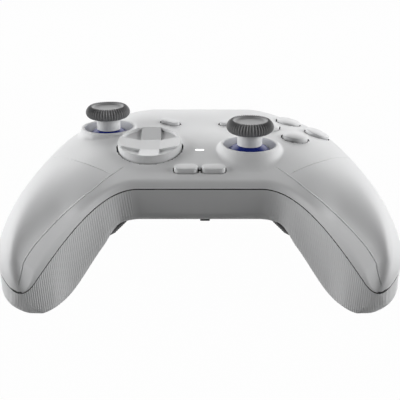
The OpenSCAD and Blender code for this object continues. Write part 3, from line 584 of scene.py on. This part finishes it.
def mirrored(bm):
    bmesh.ops.scale(bm, vec=(-1, 1, 1), verts=bm.verts[:])
    bmesh.ops.reverse_faces(bm, faces=bm.faces[:])
    return bm


def sided(bm, side):
    """A right-hand shape on the side asked for."""
    return bm if side > 0 else mirrored(bm)


# Materials
def group_nodes(name, inputs, outputs):
    """An empty shader node group with named sockets."""
    group = bpy.data.node_groups.new(name, "ShaderNodeTree")
    for label, kind, value in inputs:
        socket = group.interface.new_socket(label, in_out="INPUT", socket_type=kind)
        if value is not None:
            socket.default_value = value
    for label, kind in outputs:
        group.interface.new_socket(label, in_out="OUTPUT", socket_type=kind)
    return group, group.nodes.new("NodeGroupInput"), group.nodes.new("NodeGroupOutput")


def node(tree, kind, links=(), **values):
    """A node with its settings, its input values as in_NUMBER, and its links as input and source."""
    made = tree.nodes.new(kind)
    for key, value in values.items():
        if key.startswith("in_"):
            made.inputs[int(key[3:])].default_value = value
        else:
            setattr(made, key, value)
    for index, source in links:
        tree.links.new(source, made.inputs[index])
    return made


def moulded_grain_group():
    """Fine spark-eroded grain of moulded plastic, with a slow drift of gloss and tone."""
    group, given, result = group_nodes(
        "moulded_grain",
        [("Vector", "NodeSocketVector", None), ("Grain Scale", "NodeSocketFloat", 2600.0),
         ("Low Roughness", "NodeSocketFloat", 0.4), ("High Roughness", "NodeSocketFloat", 0.5),
         ("Tone", "NodeSocketFloat", 0.03)],
        [("Height", "NodeSocketFloat"), ("Roughness", "NodeSocketFloat"), ("Shade", "NodeSocketFloat")])
    fine = node(group, "ShaderNodeTexNoise",
                [(0, given.outputs["Vector"]), (2, given.outputs["Grain Scale"])])
    fine.inputs["Detail"].default_value = 3
    slow = node(group, "ShaderNodeTexNoise", [(0, given.outputs["Vector"])])
    slow.inputs["Scale"].default_value = 55
    slow.inputs["Detail"].default_value = 2
    gloss = node(group, "ShaderNodeMapRange",
                 [(0, slow.outputs[0]), (3, given.outputs["Low Roughness"]),
                  (4, given.outputs["High Roughness"])], in_1=0.3, in_2=0.7)
    tone = node(group, "ShaderNodeMath", [(0, slow.outputs[0])], operation="SUBTRACT", in_1=0.5)
    shade = node(group, "ShaderNodeMath", [(0, tone.outputs[0]), (1, given.outputs["Tone"])],
                 operation="MULTIPLY_ADD", in_2=1.0)
    group.links.new(fine.outputs[0], result.inputs["Height"])
    group.links.new(gloss.outputs[0], result.inputs["Roughness"])
    group.links.new(shade.outputs[0], result.inputs["Shade"])
    return group


def grip_ribs_group():
    """Fine upright ribs on the inner flanks of the grips, outside a straight border."""
    group, given, result = group_nodes(
        "grip_ribs",
        [("Vector", "NodeSocketVector", None), ("Spacing", "NodeSocketFloat", 0.00062),
         ("Border", "NodeSocketFloat", 0.0265)],
        [("Height", "NodeSocketFloat")])

    def reckon(operation, *sources, **values):
        links = list(enumerate(sources))
        return node(group, "ShaderNodeMath", links, operation=operation, **values).outputs[0]

    axis = node(group, "ShaderNodeSeparateXYZ", [(0, given.outputs["Vector"])])
    wide = reckon("ABSOLUTE", axis.outputs[0])
    sway = reckon("MULTIPLY", axis.outputs[2], in_1=0.16)
    run = reckon("ADD", wide, sway)
    count = reckon("DIVIDE", run, given.outputs["Spacing"])
    turn = reckon("MULTIPLY", count, in_1=math.tau)
    wave = reckon("SINE", turn)
    past = reckon("SUBTRACT", wide, given.outputs["Border"])
    side = node(group, "ShaderNodeMapRange", [(0, past)], in_1=0.0, in_2=0.0006)
    near = node(group, "ShaderNodeMapRange", [(0, axis.outputs[1])], in_1=-0.012, in_2=-0.02)
    zone = reckon("MULTIPLY", side.outputs[0], near.outputs[0])
    height = reckon("MULTIPLY", wave, zone)
    group.links.new(height, result.inputs["Height"])
    return group


GRAIN = moulded_grain_group()
RIBS = grip_ribs_group()


def finish(name, colour, low, high, grain=2600.0, depth=0.00002, tone=0.03, ribs=0.0, **sockets):
    """A moulded finish: colour with a slow drift, grain in the bump and a drift of roughness."""
    material = bpy.data.materials.new(name)
    material.use_nodes = True
    tree = material.node_tree
    shader = tree.nodes["Principled BSDF"]
    where = node(tree, "ShaderNodeTexCoord")
    skin = node(tree, "ShaderNodeGroup", node_tree=GRAIN)
    tree.links.new(where.outputs["Object"], skin.inputs["Vector"])
    given = {"Grain Scale": grain, "Low Roughness": low, "High Roughness": high, "Tone": tone}
    for label, value in given.items():
        skin.inputs[label].default_value = value
    tint = node(tree, "ShaderNodeMix", [(7, skin.outputs["Shade"])], data_type="RGBA",
                blend_type="MULTIPLY", in_0=1.0)
    tint.inputs[6].default_value = (*colour, 1)
    tree.links.new(tint.outputs[2], shader.inputs["Base Color"])
    tree.links.new(skin.outputs["Roughness"], shader.inputs["Roughness"])
    bump = node(tree, "ShaderNodeBump", [(3, skin.outputs["Height"])], in_0=0.35)
    bump.inputs["Distance"].default_value = depth
    tree.links.new(bump.outputs[0], shader.inputs["Normal"])
    if ribs:
        lines = node(tree, "ShaderNodeGroup", node_tree=RIBS)
        tree.links.new(where.outputs["Object"], lines.inputs["Vector"])
        over = node(tree, "ShaderNodeBump", [(3, lines.outputs["Height"])], in_0=0.6)
        over.inputs["Distance"].default_value = ribs
        tree.links.new(bump.outputs[0], over.inputs["Normal"])
        tree.links.new(over.outputs[0], shader.inputs["Normal"])
    for label, value in sockets.items():
        shader.inputs[label.replace("_", " ")].default_value = value
    return material


SHELL_WHITE = finish("shell_white", (0.74, 0.745, 0.75), 0.42, 0.5)
SHELL_GREY = finish("shell_grey", (0.70, 0.705, 0.71), 0.44, 0.52, ribs=0.00012)
KEY_WHITE = finish("key_white", (0.74, 0.745, 0.75), 0.36, 0.44)
CAP_RUBBER = finish("cap_rubber", (0.2, 0.2, 0.203), 0.45, 0.58, grain=3200.0, depth=0.00004, tone=0.08)
# Painted light: a lighter copy of the cap rubber for the sunk dish, which faces up to the lamps
CAP_DISH_PAINTED_LIGHT = finish("cap_dish_painted_light", (0.31, 0.31, 0.313), 0.45, 0.55, grain=3200.0, depth=0.00003, tone=0.05)
# Painted shade: a near-black colour on the faces along the parting line and on the walls of the button holes,
# standing in for the shade in those gaps
PAINTED_GAP_SHADE = finish("painted_gap_shade", (0.02, 0.02, 0.021), 0.7, 0.8)
POST_GREY = finish("post_grey", (0.72, 0.725, 0.73), 0.36, 0.44)
DOME_BLUE = finish("dome_blue", (0.006, 0.016, 0.16), 0.24, 0.3, depth=0.000004, Specular_IOR_Level=0.2)
DARK_PLASTIC = finish("dark_plastic", (0.085, 0.085, 0.088), 0.45, 0.55)
INNER_PLASTIC = finish("inner_plastic", (0.5, 0.5, 0.51), 0.45, 0.55)
SILICONE = finish("silicone", (0.66, 0.65, 0.6), 0.5, 0.6)
STEEL = finish("steel", (0.55, 0.56, 0.58), 0.28, 0.38, grain=900.0, depth=0.000006, Metallic=1.0)
BOARD = finish("board", (0.02, 0.11, 0.05), 0.4, 0.5, grain=1400.0)
CELL_WRAP = finish("cell_wrap", (0.06, 0.12, 0.26), 0.25, 0.35)
LIGHT_WHITE = finish("light_white", (0.9, 0.9, 0.92), 0.3, 0.36,
                     Emission_Color=(1, 1, 1, 1), Emission_Strength=1.4)
SLOTS = {
    "shell_white": SHELL_WHITE,
    "shell_grey": SHELL_GREY,
    "button_white": KEY_WHITE,
    "cap_rubber": CAP_RUBBER,
    "post_grey": POST_GREY,
    "dome_blue": DOME_BLUE,
    "light_white": LIGHT_WHITE,
    "dark_plastic": DARK_PLASTIC,
    "inner_plastic": INNER_PLASTIC,
    "silicone": SILICONE,
    "steel": STEEL,
    "board": BOARD,
    "cell_wrap": CELL_WRAP,
}
for part in frame["record"]["subparts"]:
    mesh = nodes[part["node"]].data
    mesh.materials.clear()
    mesh.materials.append(SLOTS[part["material_slot"]])


# Shared places
def at_rear_pill(side):
    return place(side * 13.4, 28, REAR_PILL_Z, rx=6, spin=side * 34)


def at_front_pill(side):
    return place(side * 5.5, -17.2, FRONT_PILL_Z, rx=12)


def at_face_key(letter):
    x, y, z, roll = FACE_KEYS[letter]
    return place(x, y, z, ry=roll)


AT_PAD = place(-20.8, -0.8, 51, rx=10.5)
AT_BACK_KEY = place(36.5, -10, 17.144, rx=-10, ry=32, spin=104)
AT_SWITCH = place(2.2, -13, 21.403, rx=-19)
AT_INLET = place(0, 43.5, 31.15, rx=-90)


def pill_hole():
    return pill(PILL_LENGTH + 2 * KEY_GAP, PILL_WIDTH + 2 * KEY_GAP, -8, 8)


def bumper_outline(out, thin=0.0):
    """A line beside the side rail, over the length of a shoulder button and thinning to its outer end."""
    line = []
    for k, s in enumerate(np.linspace(BEND_1 + 0.003, BEND_2 - 0.008, 33)):
        t = rail_out(s + 0.002) - rail_out(s - 0.002)
        n = unit(np.array([-t[1], t[0], 0]))
        line.append((rail_out(s) + n * (out + thin * (k / 32) ** 1.5))[:2])
    return line


def bumper_room(side, swing):
    """Room of a shoulder button swung in about its pin."""
    a = math.radians(-swing)
    turn = np.array([[math.cos(a), -math.sin(a)], [math.sin(a), math.cos(a)]])
    edge = bumper_outline(BUMPER_OUT) + bumper_outline(BUMPER_IN, BUMPER_THIN)[::-1]
    outline = [BUMPER_PIN + turn @ (p - BUMPER_PIN) for p in edge]
    return sided(prism(outline, BUMPER_LOW, BUMPER_HIGH), side)


def carve_bumper_rooms(shell):
    for swing in BUMPER_SWINGS:
        carve(shell, both_sides(lambda side: bumper_room(side, swing)))


# Upper shell
upper = mesh_object("upper_shell_skin", shell_solid(upper_line, 112, 26, with_collars))
for (x, y), top, _, _, foot in STICK_OPENINGS:
    carve(upper, move(rod(RING + 0.6, 20, 60, 128), place(x, y)))
    lip = rounded([(RING, top - foot), (RING, top), (RING + LIP, top), (RING + LIP, top - foot)], 0.55, 7)
    lip = [tuple(p) for p in lip]
    carve(upper, move(spun(lip, 160), place(x, y)), "UNION")
    for r, spare in ((RING, 0.4), (RING + LIP, 0.5)):
        reach = min(r + LIP, DOME + 0.5)
        height = math.sqrt(DOME ** 2 - r ** 2) + spare
        carve(upper, move(rod(reach, -6, height, 128), place(x, y, STICK_PIVOT)))
carve(upper, move(rod(PAD_HOLE, -20, 10, 160), AT_PAD))
face_holes = [move(rod(FACE_RADIUS + KEY_GAP, -8, 10, 96), at_face_key(letter)) for letter in FACE_KEYS]
carve(upper, joined(*face_holes))
for at in (at_rear_pill, at_front_pill):
    carve(upper, both_sides(lambda side: move(pill_hole(), at(side))))
carve(upper, move(pill(3.7, 1.0, 42, 52), place(0, -2.6, 0)))
carve_bumper_rooms(upper)


def through(points, steps):
    """A smooth line through the points."""
    p = np.vstack([2 * points[0] - points[1], points, 2 * points[-1] - points[-2]])
    line = []
    for a, b, c, d in zip(p[:-3], p[1:-2], p[2:-1], p[3:]):
        for t in np.linspace(0, 1, steps, endpoint=False):
            line.append(b + (c - a) * t / 2 + (a - 2.5 * b + 2 * c - d / 2) * t * t
                        + (1.5 * (b - c) + (d - a) / 2) * t ** 3)
    return np.array(line + [points[-1]])


def groove(places, radius, side):
    """A thin round cutter along a line on the upper shell, given as rows and runs over the face."""
    line = np.array([guided(upper_guide(s, 0, 1, 0)[2], [t])[0] for s, t in through(np.array(places), 14)])
    ahead = np.gradient(line, axis=0)
    rings = []
    for k, (p, t) in enumerate(zip(line, ahead)):
        t = unit(t)
        a = unit(np.cross(t, UP))
        b = np.cross(a, t)
        r = radius * min(1, 0.25 + 0.15 * min(k, len(line) - 1 - k))
        rings.append([p + r * (a * math.cos(v) + b * math.sin(v)) for v in np.linspace(0, math.tau, 11)])
    bm = bmesh.new()
    grid_to(bm, np.array(rings))
    close_up(bm)
    return sided(bm, side)


GRIP_LINE = [(0.374, 0.083), (0.437, 0.062), (0.541, 0.046), (0.644, 0.062), (0.713, 0.079),
             (0.826, 0.104), (0.905, 0.133), (0.945, 0.175), (0.968, 0.235), (0.982, 0.32)]
PALM_LINE = [(0.446, 0.07), (0.489, 0.129), (0.541, 0.221), (0.571, 0.296), (0.596, 0.383),
             (0.616, 0.467), (0.629, 0.571)]
for side in (1, -1):
    carve(upper, groove(GRIP_LINE, 0.32, side))
    carve(upper, groove(PALM_LINE, 0.28, side))
finish_piece(upper, SHELL_WHITE, "chassis", ["upper_shell"])
paint_seam_shade(upper, -1, 0)


def hole_wall(centres, where, radius, half_span=0.0):
    """Marks the faces on the wall of a round or long hole."""
    p = (np.c_[centres, np.ones(len(centres))] @ np.array(where.inverted()).T)[:, :3] / MM
    away = np.hypot(np.maximum(np.abs(p[:, 0]) - half_span, 0), p[:, 1])
    on_wall = np.abs(away - radius) < 0.12
    at_level = np.abs(p[:, 2] + 2) < 6
    return on_wall & at_level


# The walls of the holes around the pad and the buttons take the painted gap shade, a near-black colour
# standing in for the shade in those gaps
centres = np.array([face.center for face in upper.data.polygons])
walls = hole_wall(centres, AT_PAD, PAD_HOLE)
for letter in FACE_KEYS:
    walls |= hole_wall(centres, at_face_key(letter), FACE_RADIUS + KEY_GAP)
for side in (-1, 1):
    for where in (at_rear_pill(side), at_front_pill(side)):
        walls |= hole_wall(centres, where, PILL_WIDTH / 2 + KEY_GAP, (PILL_LENGTH - PILL_WIDTH) / 2)
for i in np.flatnonzero(walls):
    upper.data.polygons[int(i)].material_index = SECOND_SLOT

# Lower shell
lower = mesh_object("lower_shell_skin", shell_solid(lower_line, 112, 30))


def pocket(side):
    """Walls of the pocket a trigger swings in: two sides and a front."""
    thick = 1.5
    front = POCKET_FRONT - 1
    rear = 62
    walls = [
        block((POCKET_NEAR - thick, front, 0), (POCKET_NEAR, rear, POCKET_TOP)),
        block((POCKET_FAR, front, 0), (POCKET_FAR + thick, rear, POCKET_TOP)),
        block((POCKET_NEAR - 0.1, front, 0), (POCKET_FAR + 0.1, POCKET_FRONT, POCKET_TOP)),
    ]
    return [sided(wall, side) for wall in walls]


def well(side):
    """Bosses the shell screws are sunk in."""
    grip = move(rod(SCREW_WELL, -2, 14), place(*GRIP_SCREW))
    rear = move(rod(SCREW_WELL, 0, 30), place(*REAR_SCREW))
    return [sided(grip, side), sided(rear, side)]


def lower_cutters():
    """Right-hand cutters for the lower shell: the trigger's way out, screw holes, a back button's hole."""
    return [
        block((POCKET_NEAR, POCKET_FRONT, 15.5), (POCKET_FAR, 72, 32.9)),
        block((POCKET_NEAR, 39.4, -5), (POCKET_FAR, 72, 16)),
        move(rod(SCREW_HOLE, -5, 9), place(*GRIP_SCREW)),
        move(rod(SCREW_HOLE, -5, 17), place(*REAR_SCREW)),
        move(pill(22.6, 9.6, -8, 4), AT_BACK_KEY),
    ]


for side in (1, -1):
    for rib in pocket(side) + well(side):
        trimmed = mesh_object("rib", rib)
        carve(trimmed, shell_solid(lower_line, 40, 4, fill=True), "INTERSECT")
        bm = bmesh.new()
        bm.from_mesh(trimmed.data)
        spare = trimmed.data
        bpy.data.objects.remove(trimmed)
        bpy.data.meshes.remove(spare)
        carve(lower, bm, "UNION")
carve_bumper_rooms(lower)
for right, left in zip(lower_cutters(), lower_cutters()):
    carve(lower, joined(right, mirrored(left)))
carve(lower, move(block((-3.3, -1.5, -6), (3.3, 1.5, 6)), AT_SWITCH))
carve(lower, move(pill(9.6, 3.9, 0, 16), AT_INLET))
finish_piece(lower, SHELL_GREY, "chassis", ["lower_shell"])
paint_seam_shade(lower, 1, SEAM_GAP)

# Thumb sticks
RIBS_ROUND = 50
RIB_DEPTH = 0.5
CAP_FOOT = 17.9
DISH_RADIUS = 6.9


def stick_cap():
    """Rubber cap: a fat rim ribbed all over, around a plain sunk dish."""
    r = 9.85
    h = 5.5
    widest = 2.6
    corners = [(0, 0), (r - 2.6, 0), (r - 1.1, 0.5), (r - 0.25, 1.5), (r, widest), (r - 0.25, 3.7),
               (r - 1.05, 4.8), (r - 2.1, h), (r - 2.75, h - 0.15), (r - 3.25, h - 0.9), (r - 3.9, h - 1.3),
               (0, h - 1.6)]
    bm = spun([tuple(p) for p in rounded(corners, 0.6, 5)], RIBS_ROUND * 8)
    for v in bm.verts:
        out = math.hypot(v.co.x, v.co.y) / MM
        z = v.co.z / MM
        band = min(max((out - (r - 2.75)) / 0.5, 0), 1) * min(max((z - 0.2) / 0.6, 0), 1)
        if band > 0:
            wave = (0.5 - 0.5 * math.cos(RIBS_ROUND * math.atan2(v.co.y, v.co.x))) ** 0.8
            lift = math.atan2(z - widest, out - (r - 2.4))
            cut = 1 - RIB_DEPTH * band * wave * max(math.cos(lift), 0) / out
            v.co.x *= cut
            v.co.y *= cut
            v.co.z -= RIB_DEPTH * band * wave * max(math.sin(lift), 0) * MM
    return bm


def stick_post():
    """Sleeve between the dome and the cap."""
    profile = [(2, 17.85), (2, 12.7), (5.15, 12.75), (5.2, 12.8), (5.2, 17.85)]
    return spun(profile, 96)


def stick_dome():
    """Thin round bowl that covers the opening, with a hole for the lever."""
    lever = 2
    foot = 2.2

    def arc(radius, steps):
        turn = np.linspace(math.asin(foot / radius), math.acos(lever / radius), steps)
        return [(radius * math.cos(a), radius * math.sin(a)) for a in turn]

    return spun(arc(DOME, 48) + arc(DOME - 1, 24)[::-1], 160)


for hand, (x, y) in (("left", LEFT_STICK), ("right", RIGHT_STICK)):
    body = hand + "_stick"
    where = place(x, y, STICK_PIVOT)
    cap = mesh_object(hand + "_cap_rubber", move(stick_cap(), where @ place(z=CAP_FOOT)))
    finish_piece(cap, CAP_RUBBER, body, [hand + "_stick_cap"], 60)
    # The upward faces of the dish take the lighter copy of the rubber, as painted light
    cap.data.materials.append(CAP_DISH_PAINTED_LIGHT)
    for face in cap.data.polygons:
        dx, dy = face.center.x / MM - x, face.center.y / MM - y
        if math.hypot(dx, dy) < DISH_RADIUS and face.normal.z > 0.2:
            face.material_index = SECOND_SLOT
    post = mesh_object(hand + "_post_sleeve", move(stick_post(), where))
    finish_piece(post, POST_GREY, body, [hand + "_stick_post"])
    dome = mesh_object(hand + "_blue_dome", move(stick_dome(), where))
    finish_piece(dome, DOME_BLUE, body, [hand + "_stick_dome"])


# Direction pad
def pad_height(x, y):
    """Height of the pad's top: arms rising from a flat middle, four sunk quarters and a thin rim."""
    r = np.hypot(x, y)
    arm = np.minimum(np.abs(x), np.abs(y))
    reach = np.maximum(np.abs(x), np.abs(y))
    ramp = -1.95 + 1.8 * np.clip((reach - 4.3) / 8.4, 0, 1)
    sunk = -3.15 + 1.9 * np.clip((r - 5.4) / 7.2, 0, 1)
    inside = np.clip((arm - 3.95) / 0.35, 0, 1) * np.clip((12.75 - r) / 0.35, 0, 1)
    top = ramp + (sunk - ramp) * inside
    rim = np.clip((r - 12.45) / 0.3, 0, 1)
    top = top + (np.maximum(top, -0.12) - top) * rim
    edge = np.clip((r - 12.85) / 0.45, 0, 1)
    return top - 0.42 * (1 - np.sqrt(1 - np.minimum(edge, 0.999) ** 2))


def pad_cap():
    """Square plate with the pad's top, drawn down to its underside."""
    line = np.linspace(-13.6, 13.6, 201)
    x, y = np.meshgrid(line, line, indexing="ij")
    bm = bmesh.new()
    grid_to(bm, np.dstack([x, y, pad_height(x, y)]))
    made = bmesh.ops.extrude_face_region(bm, geom=bm.faces[:])["geom"]
    for g in made:
        if isinstance(g, bmesh.types.BMVert):
            g.co.z = -6.2 * MM
    bmesh.ops.recalc_face_normals(bm, faces=bm.faces[:])
    return bm


pad = mesh_object("direction_pad", pad_cap())
carve(pad, rod(PAD_RADIUS, -9, 4, 192), "INTERSECT")
carve(pad, rod(11.8, -9, -5, 96))
pad.data.transform(AT_PAD)
finish_piece(pad, KEY_WHITE, "pad", ["dpad_cap"])


# Buttons
def round_key(z, roll, seat):
    """Face button with a domed top, drawn about the place where its axis meets the face."""
    rise = 2.4
    curve = 16
    stem = 2.4
    under = -3.4
    flange = FACE_RADIUS + 0.8
    thick = 1.2
    crown = [(r, rise - curve + math.sqrt(curve ** 2 - r * r)) for r in np.linspace(0, FACE_RADIUS, 14)]
    foot = (seat - z) / math.cos(math.radians(roll)) + stem * math.tan(math.radians(roll))
    corner = [tuple(p) for p in rounded([crown[-2], crown[-1], (FACE_RADIUS, under)], 0.5, 7)]
    below = [(flange, under), (flange, under - thick), (stem, under - thick), (stem, foot), (0, foot)]
    return spun(crown[:-2] + corner + below, 96)


for letter, (x, y, z, roll) in FACE_KEYS.items():
    seat = HIGH_STEM_FOOT if letter == "y" else STEM_FOOT
    key = mesh_object("round_key_" + letter, move(round_key(z, roll, seat), at_face_key(letter)))
    finish_piece(key, KEY_WHITE, f"button_{letter}_body", [f"button_{letter}"])


def long_key(foot):
    """Small button: a long cap over a flange and a stem."""
    cap = pill(PILL_LENGTH, PILL_WIDTH, -4.7, 1.5, 0.5)
    return joined(cap, pill(11, 5.9, -4.8, -3.8), rod(1.6, foot, -4.7, 32))


for name, where, level in (("view_button", at_rear_pill(-1), REAR_PILL_Z),
                           ("menu_button", at_rear_pill(1), REAR_PILL_Z),
                           ("fn_button", at_front_pill(-1), FRONT_PILL_Z),
                           ("home_button", at_front_pill(1), FRONT_PILL_Z)):
    key = mesh_object(name.replace("button", "key"), move(long_key(STEM_FOOT - level), where))
    finish_piece(key, KEY_WHITE, name + "_body", [name])


# Shoulder buttons, triggers and what is underneath
def eased_copy(source, name, width, material, segments=3):
    """A merged copy of a CAD node with its edges eased."""
    bm = bmesh.new()
    bm.from_mesh(nodes[source].data)
    bmesh.ops.remove_doubles(bm, verts=bm.verts[:], dist=1e-6)
    bmesh.ops.dissolve_limit(bm, angle_limit=math.radians(0.6), verts=bm.verts[:], edges=bm.edges[:])
    obj = mesh_object(name, bm)
    finish_piece(obj, material, nodes[source]["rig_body"], [source])
    ease = obj.modifiers.new("eased", "BEVEL")
    ease.width = width * MM
    ease.segments = segments
    ease.limit_method = "ANGLE"
    ease.angle_limit = math.radians(32)


KEY_EASE = 0.7
for hand in ("left", "right"):
    eased_copy(hand + "_bumper", hand + "_shoulder_key", KEY_EASE, KEY_WHITE, 4)
    eased_copy(hand + "_trigger", hand + "_trigger_blade", KEY_EASE, KEY_WHITE, 4)


def back_key():
    """Back button seen from outside: a long pad with raised cross ribs."""
    body = pill(22, 9, -4.6, 2.15, 0.9)
    flange = pill(23.4, 10.4, -4.6, -3.6)
    pitch = 1.8
    ribs = []
    for i in range(-4, 5):
        rib = pill(7.2, 0.9, 1.8, 2.6, 0.3, 16)
        ribs.append(move(rib, place(x=pitch * i, spin=90)))
    return joined(body, flange, *ribs)


for hand, side in (("right", 1), ("left", -1)):
    paddle = mesh_object(hand + "_back_key", sided(move(back_key(), AT_BACK_KEY @ place(rx=180)), side))
    finish_piece(paddle, DARK_PLASTIC, hand + "_paddle_body", [hand + "_paddle"])
eased_copy("mode_switch", "mode_switch_knob", 0.25, DARK_PLASTIC)

# Floor: white to the camera and in reflections, dim to the lamps, and clear from below
FLOOR_DROP = 0.0006
FLOOR_TONE = 0.2
FLOOR_WHITE = 0.985
bm = bmesh.new()
bmesh.ops.create_grid(bm, x_segments=1, y_segments=1, size=4)
floor = mesh_object("floor", move(bm, Matrix.Translation((0, 0, -FLOOR_DROP))))
paper = bpy.data.materials.new("pale_floor")
paper.use_nodes = True
tree = paper.node_tree
shader = tree.nodes["Principled BSDF"]
shader.inputs["Base Color"].default_value = (FLOOR_TONE, FLOOR_TONE, FLOOR_TONE, 1)
shader.inputs["Roughness"].default_value = 0.9
glow = node(tree, "ShaderNodeEmission", in_1=1.0)
path = node(tree, "ShaderNodeLightPath")
seen = node(tree, "ShaderNodeMath", [(0, path.outputs["Is Camera Ray"]), (1, path.outputs["Is Glossy Ray"])],
            operation="MAXIMUM")
share = node(tree, "ShaderNodeMath", [(0, seen.outputs[0])], operation="MULTIPLY", in_1=FLOOR_WHITE)
mixed = node(tree, "ShaderNodeMixShader",
             [(0, share.outputs[0]), (1, shader.outputs[0]), (2, glow.outputs[0])])
facing = node(tree, "ShaderNodeNewGeometry")
clear = node(tree, "ShaderNodeBsdfTransparent")
one_sided = node(tree, "ShaderNodeMixShader",
                 [(0, facing.outputs["Backfacing"]), (1, mixed.outputs[0]), (2, clear.outputs[0])])
tree.links.new(one_sided.outputs[0], tree.nodes["Material Output"].inputs[0])
floor.data.materials.append(paper)

# World: white to the camera, nearly dark to the surfaces
WORLD_LIGHT = 0.01
world = bpy.data.worlds.new("studio")
scene.world = world
world.use_nodes = True
tree = world.node_tree
back = tree.nodes["Background"]
back.inputs[0].default_value = (1, 1, 1, 1)
path = node(tree, "ShaderNodeLightPath")
seen = node(tree, "ShaderNodeMath",
            [(0, path.outputs["Is Camera Ray"]), (1, path.outputs["Is Transmission Ray"])],
            operation="MAXIMUM")
level = node(tree, "ShaderNodeMapRange", [(0, seen.outputs[0])], in_3=WORLD_LIGHT, in_4=1.0)
tree.links.new(level.outputs[0], back.inputs[1])


# Lamps
def lamp(name, spot, aim, size, energy):
    """A soft oblong lamp at a spot, turned to the place it aims at."""
    data = bpy.data.lights.new(name, "AREA")
    data.shape = "RECTANGLE"
    data.size, data.size_y = size
    data.energy = energy
    obj = bpy.data.objects.new(name, data)
    scene.collection.objects.link(obj)
    obj.location = spot
    obj.rotation_euler = (Vector(aim) - Vector(spot)).to_track_quat("-Z", "Y").to_euler()


lamp("wide_rear", (0, 0.85, 0.5), (0, 0.02, 0.04), (1.8, 0.7), 8.9)
for hand, side in (("left", -1), ("right", 1)):
    grip = (side * 0.03, -0.03, 0.03)
    lamp(hand + "_side", (side * 0.85, -0.12, 0.32), grip, (0.7, 0.5), 6.0)
    lamp(hand + "_rear", (side * 0.8, 0.4, 0.3), grip, (0.6, 0.5), 2.0)

# Camera at the photograph's angle, with its focal length and shift in pixels of the picture
PICTURE_WIDTH = 400
FOCAL_LENGTH = 633
SIDE_SHIFT = 0.3
LOOK_DOWN = 22.6
camera = bpy.data.cameras.new("camera")
camera.sensor_width = 36
camera.lens = FOCAL_LENGTH / PICTURE_WIDTH * camera.sensor_width
camera.shift_x = SIDE_SHIFT / PICTURE_WIDTH
eye = bpy.data.objects.new("camera", camera)
scene.collection.objects.link(eye)
eye.location = (0, -0.2537, 0.1294)
eye.rotation_euler = (math.radians(90 - LOOK_DOWN), 0, 0)
scene.camera = eye
scene.view_settings.view_transform = "Standard"
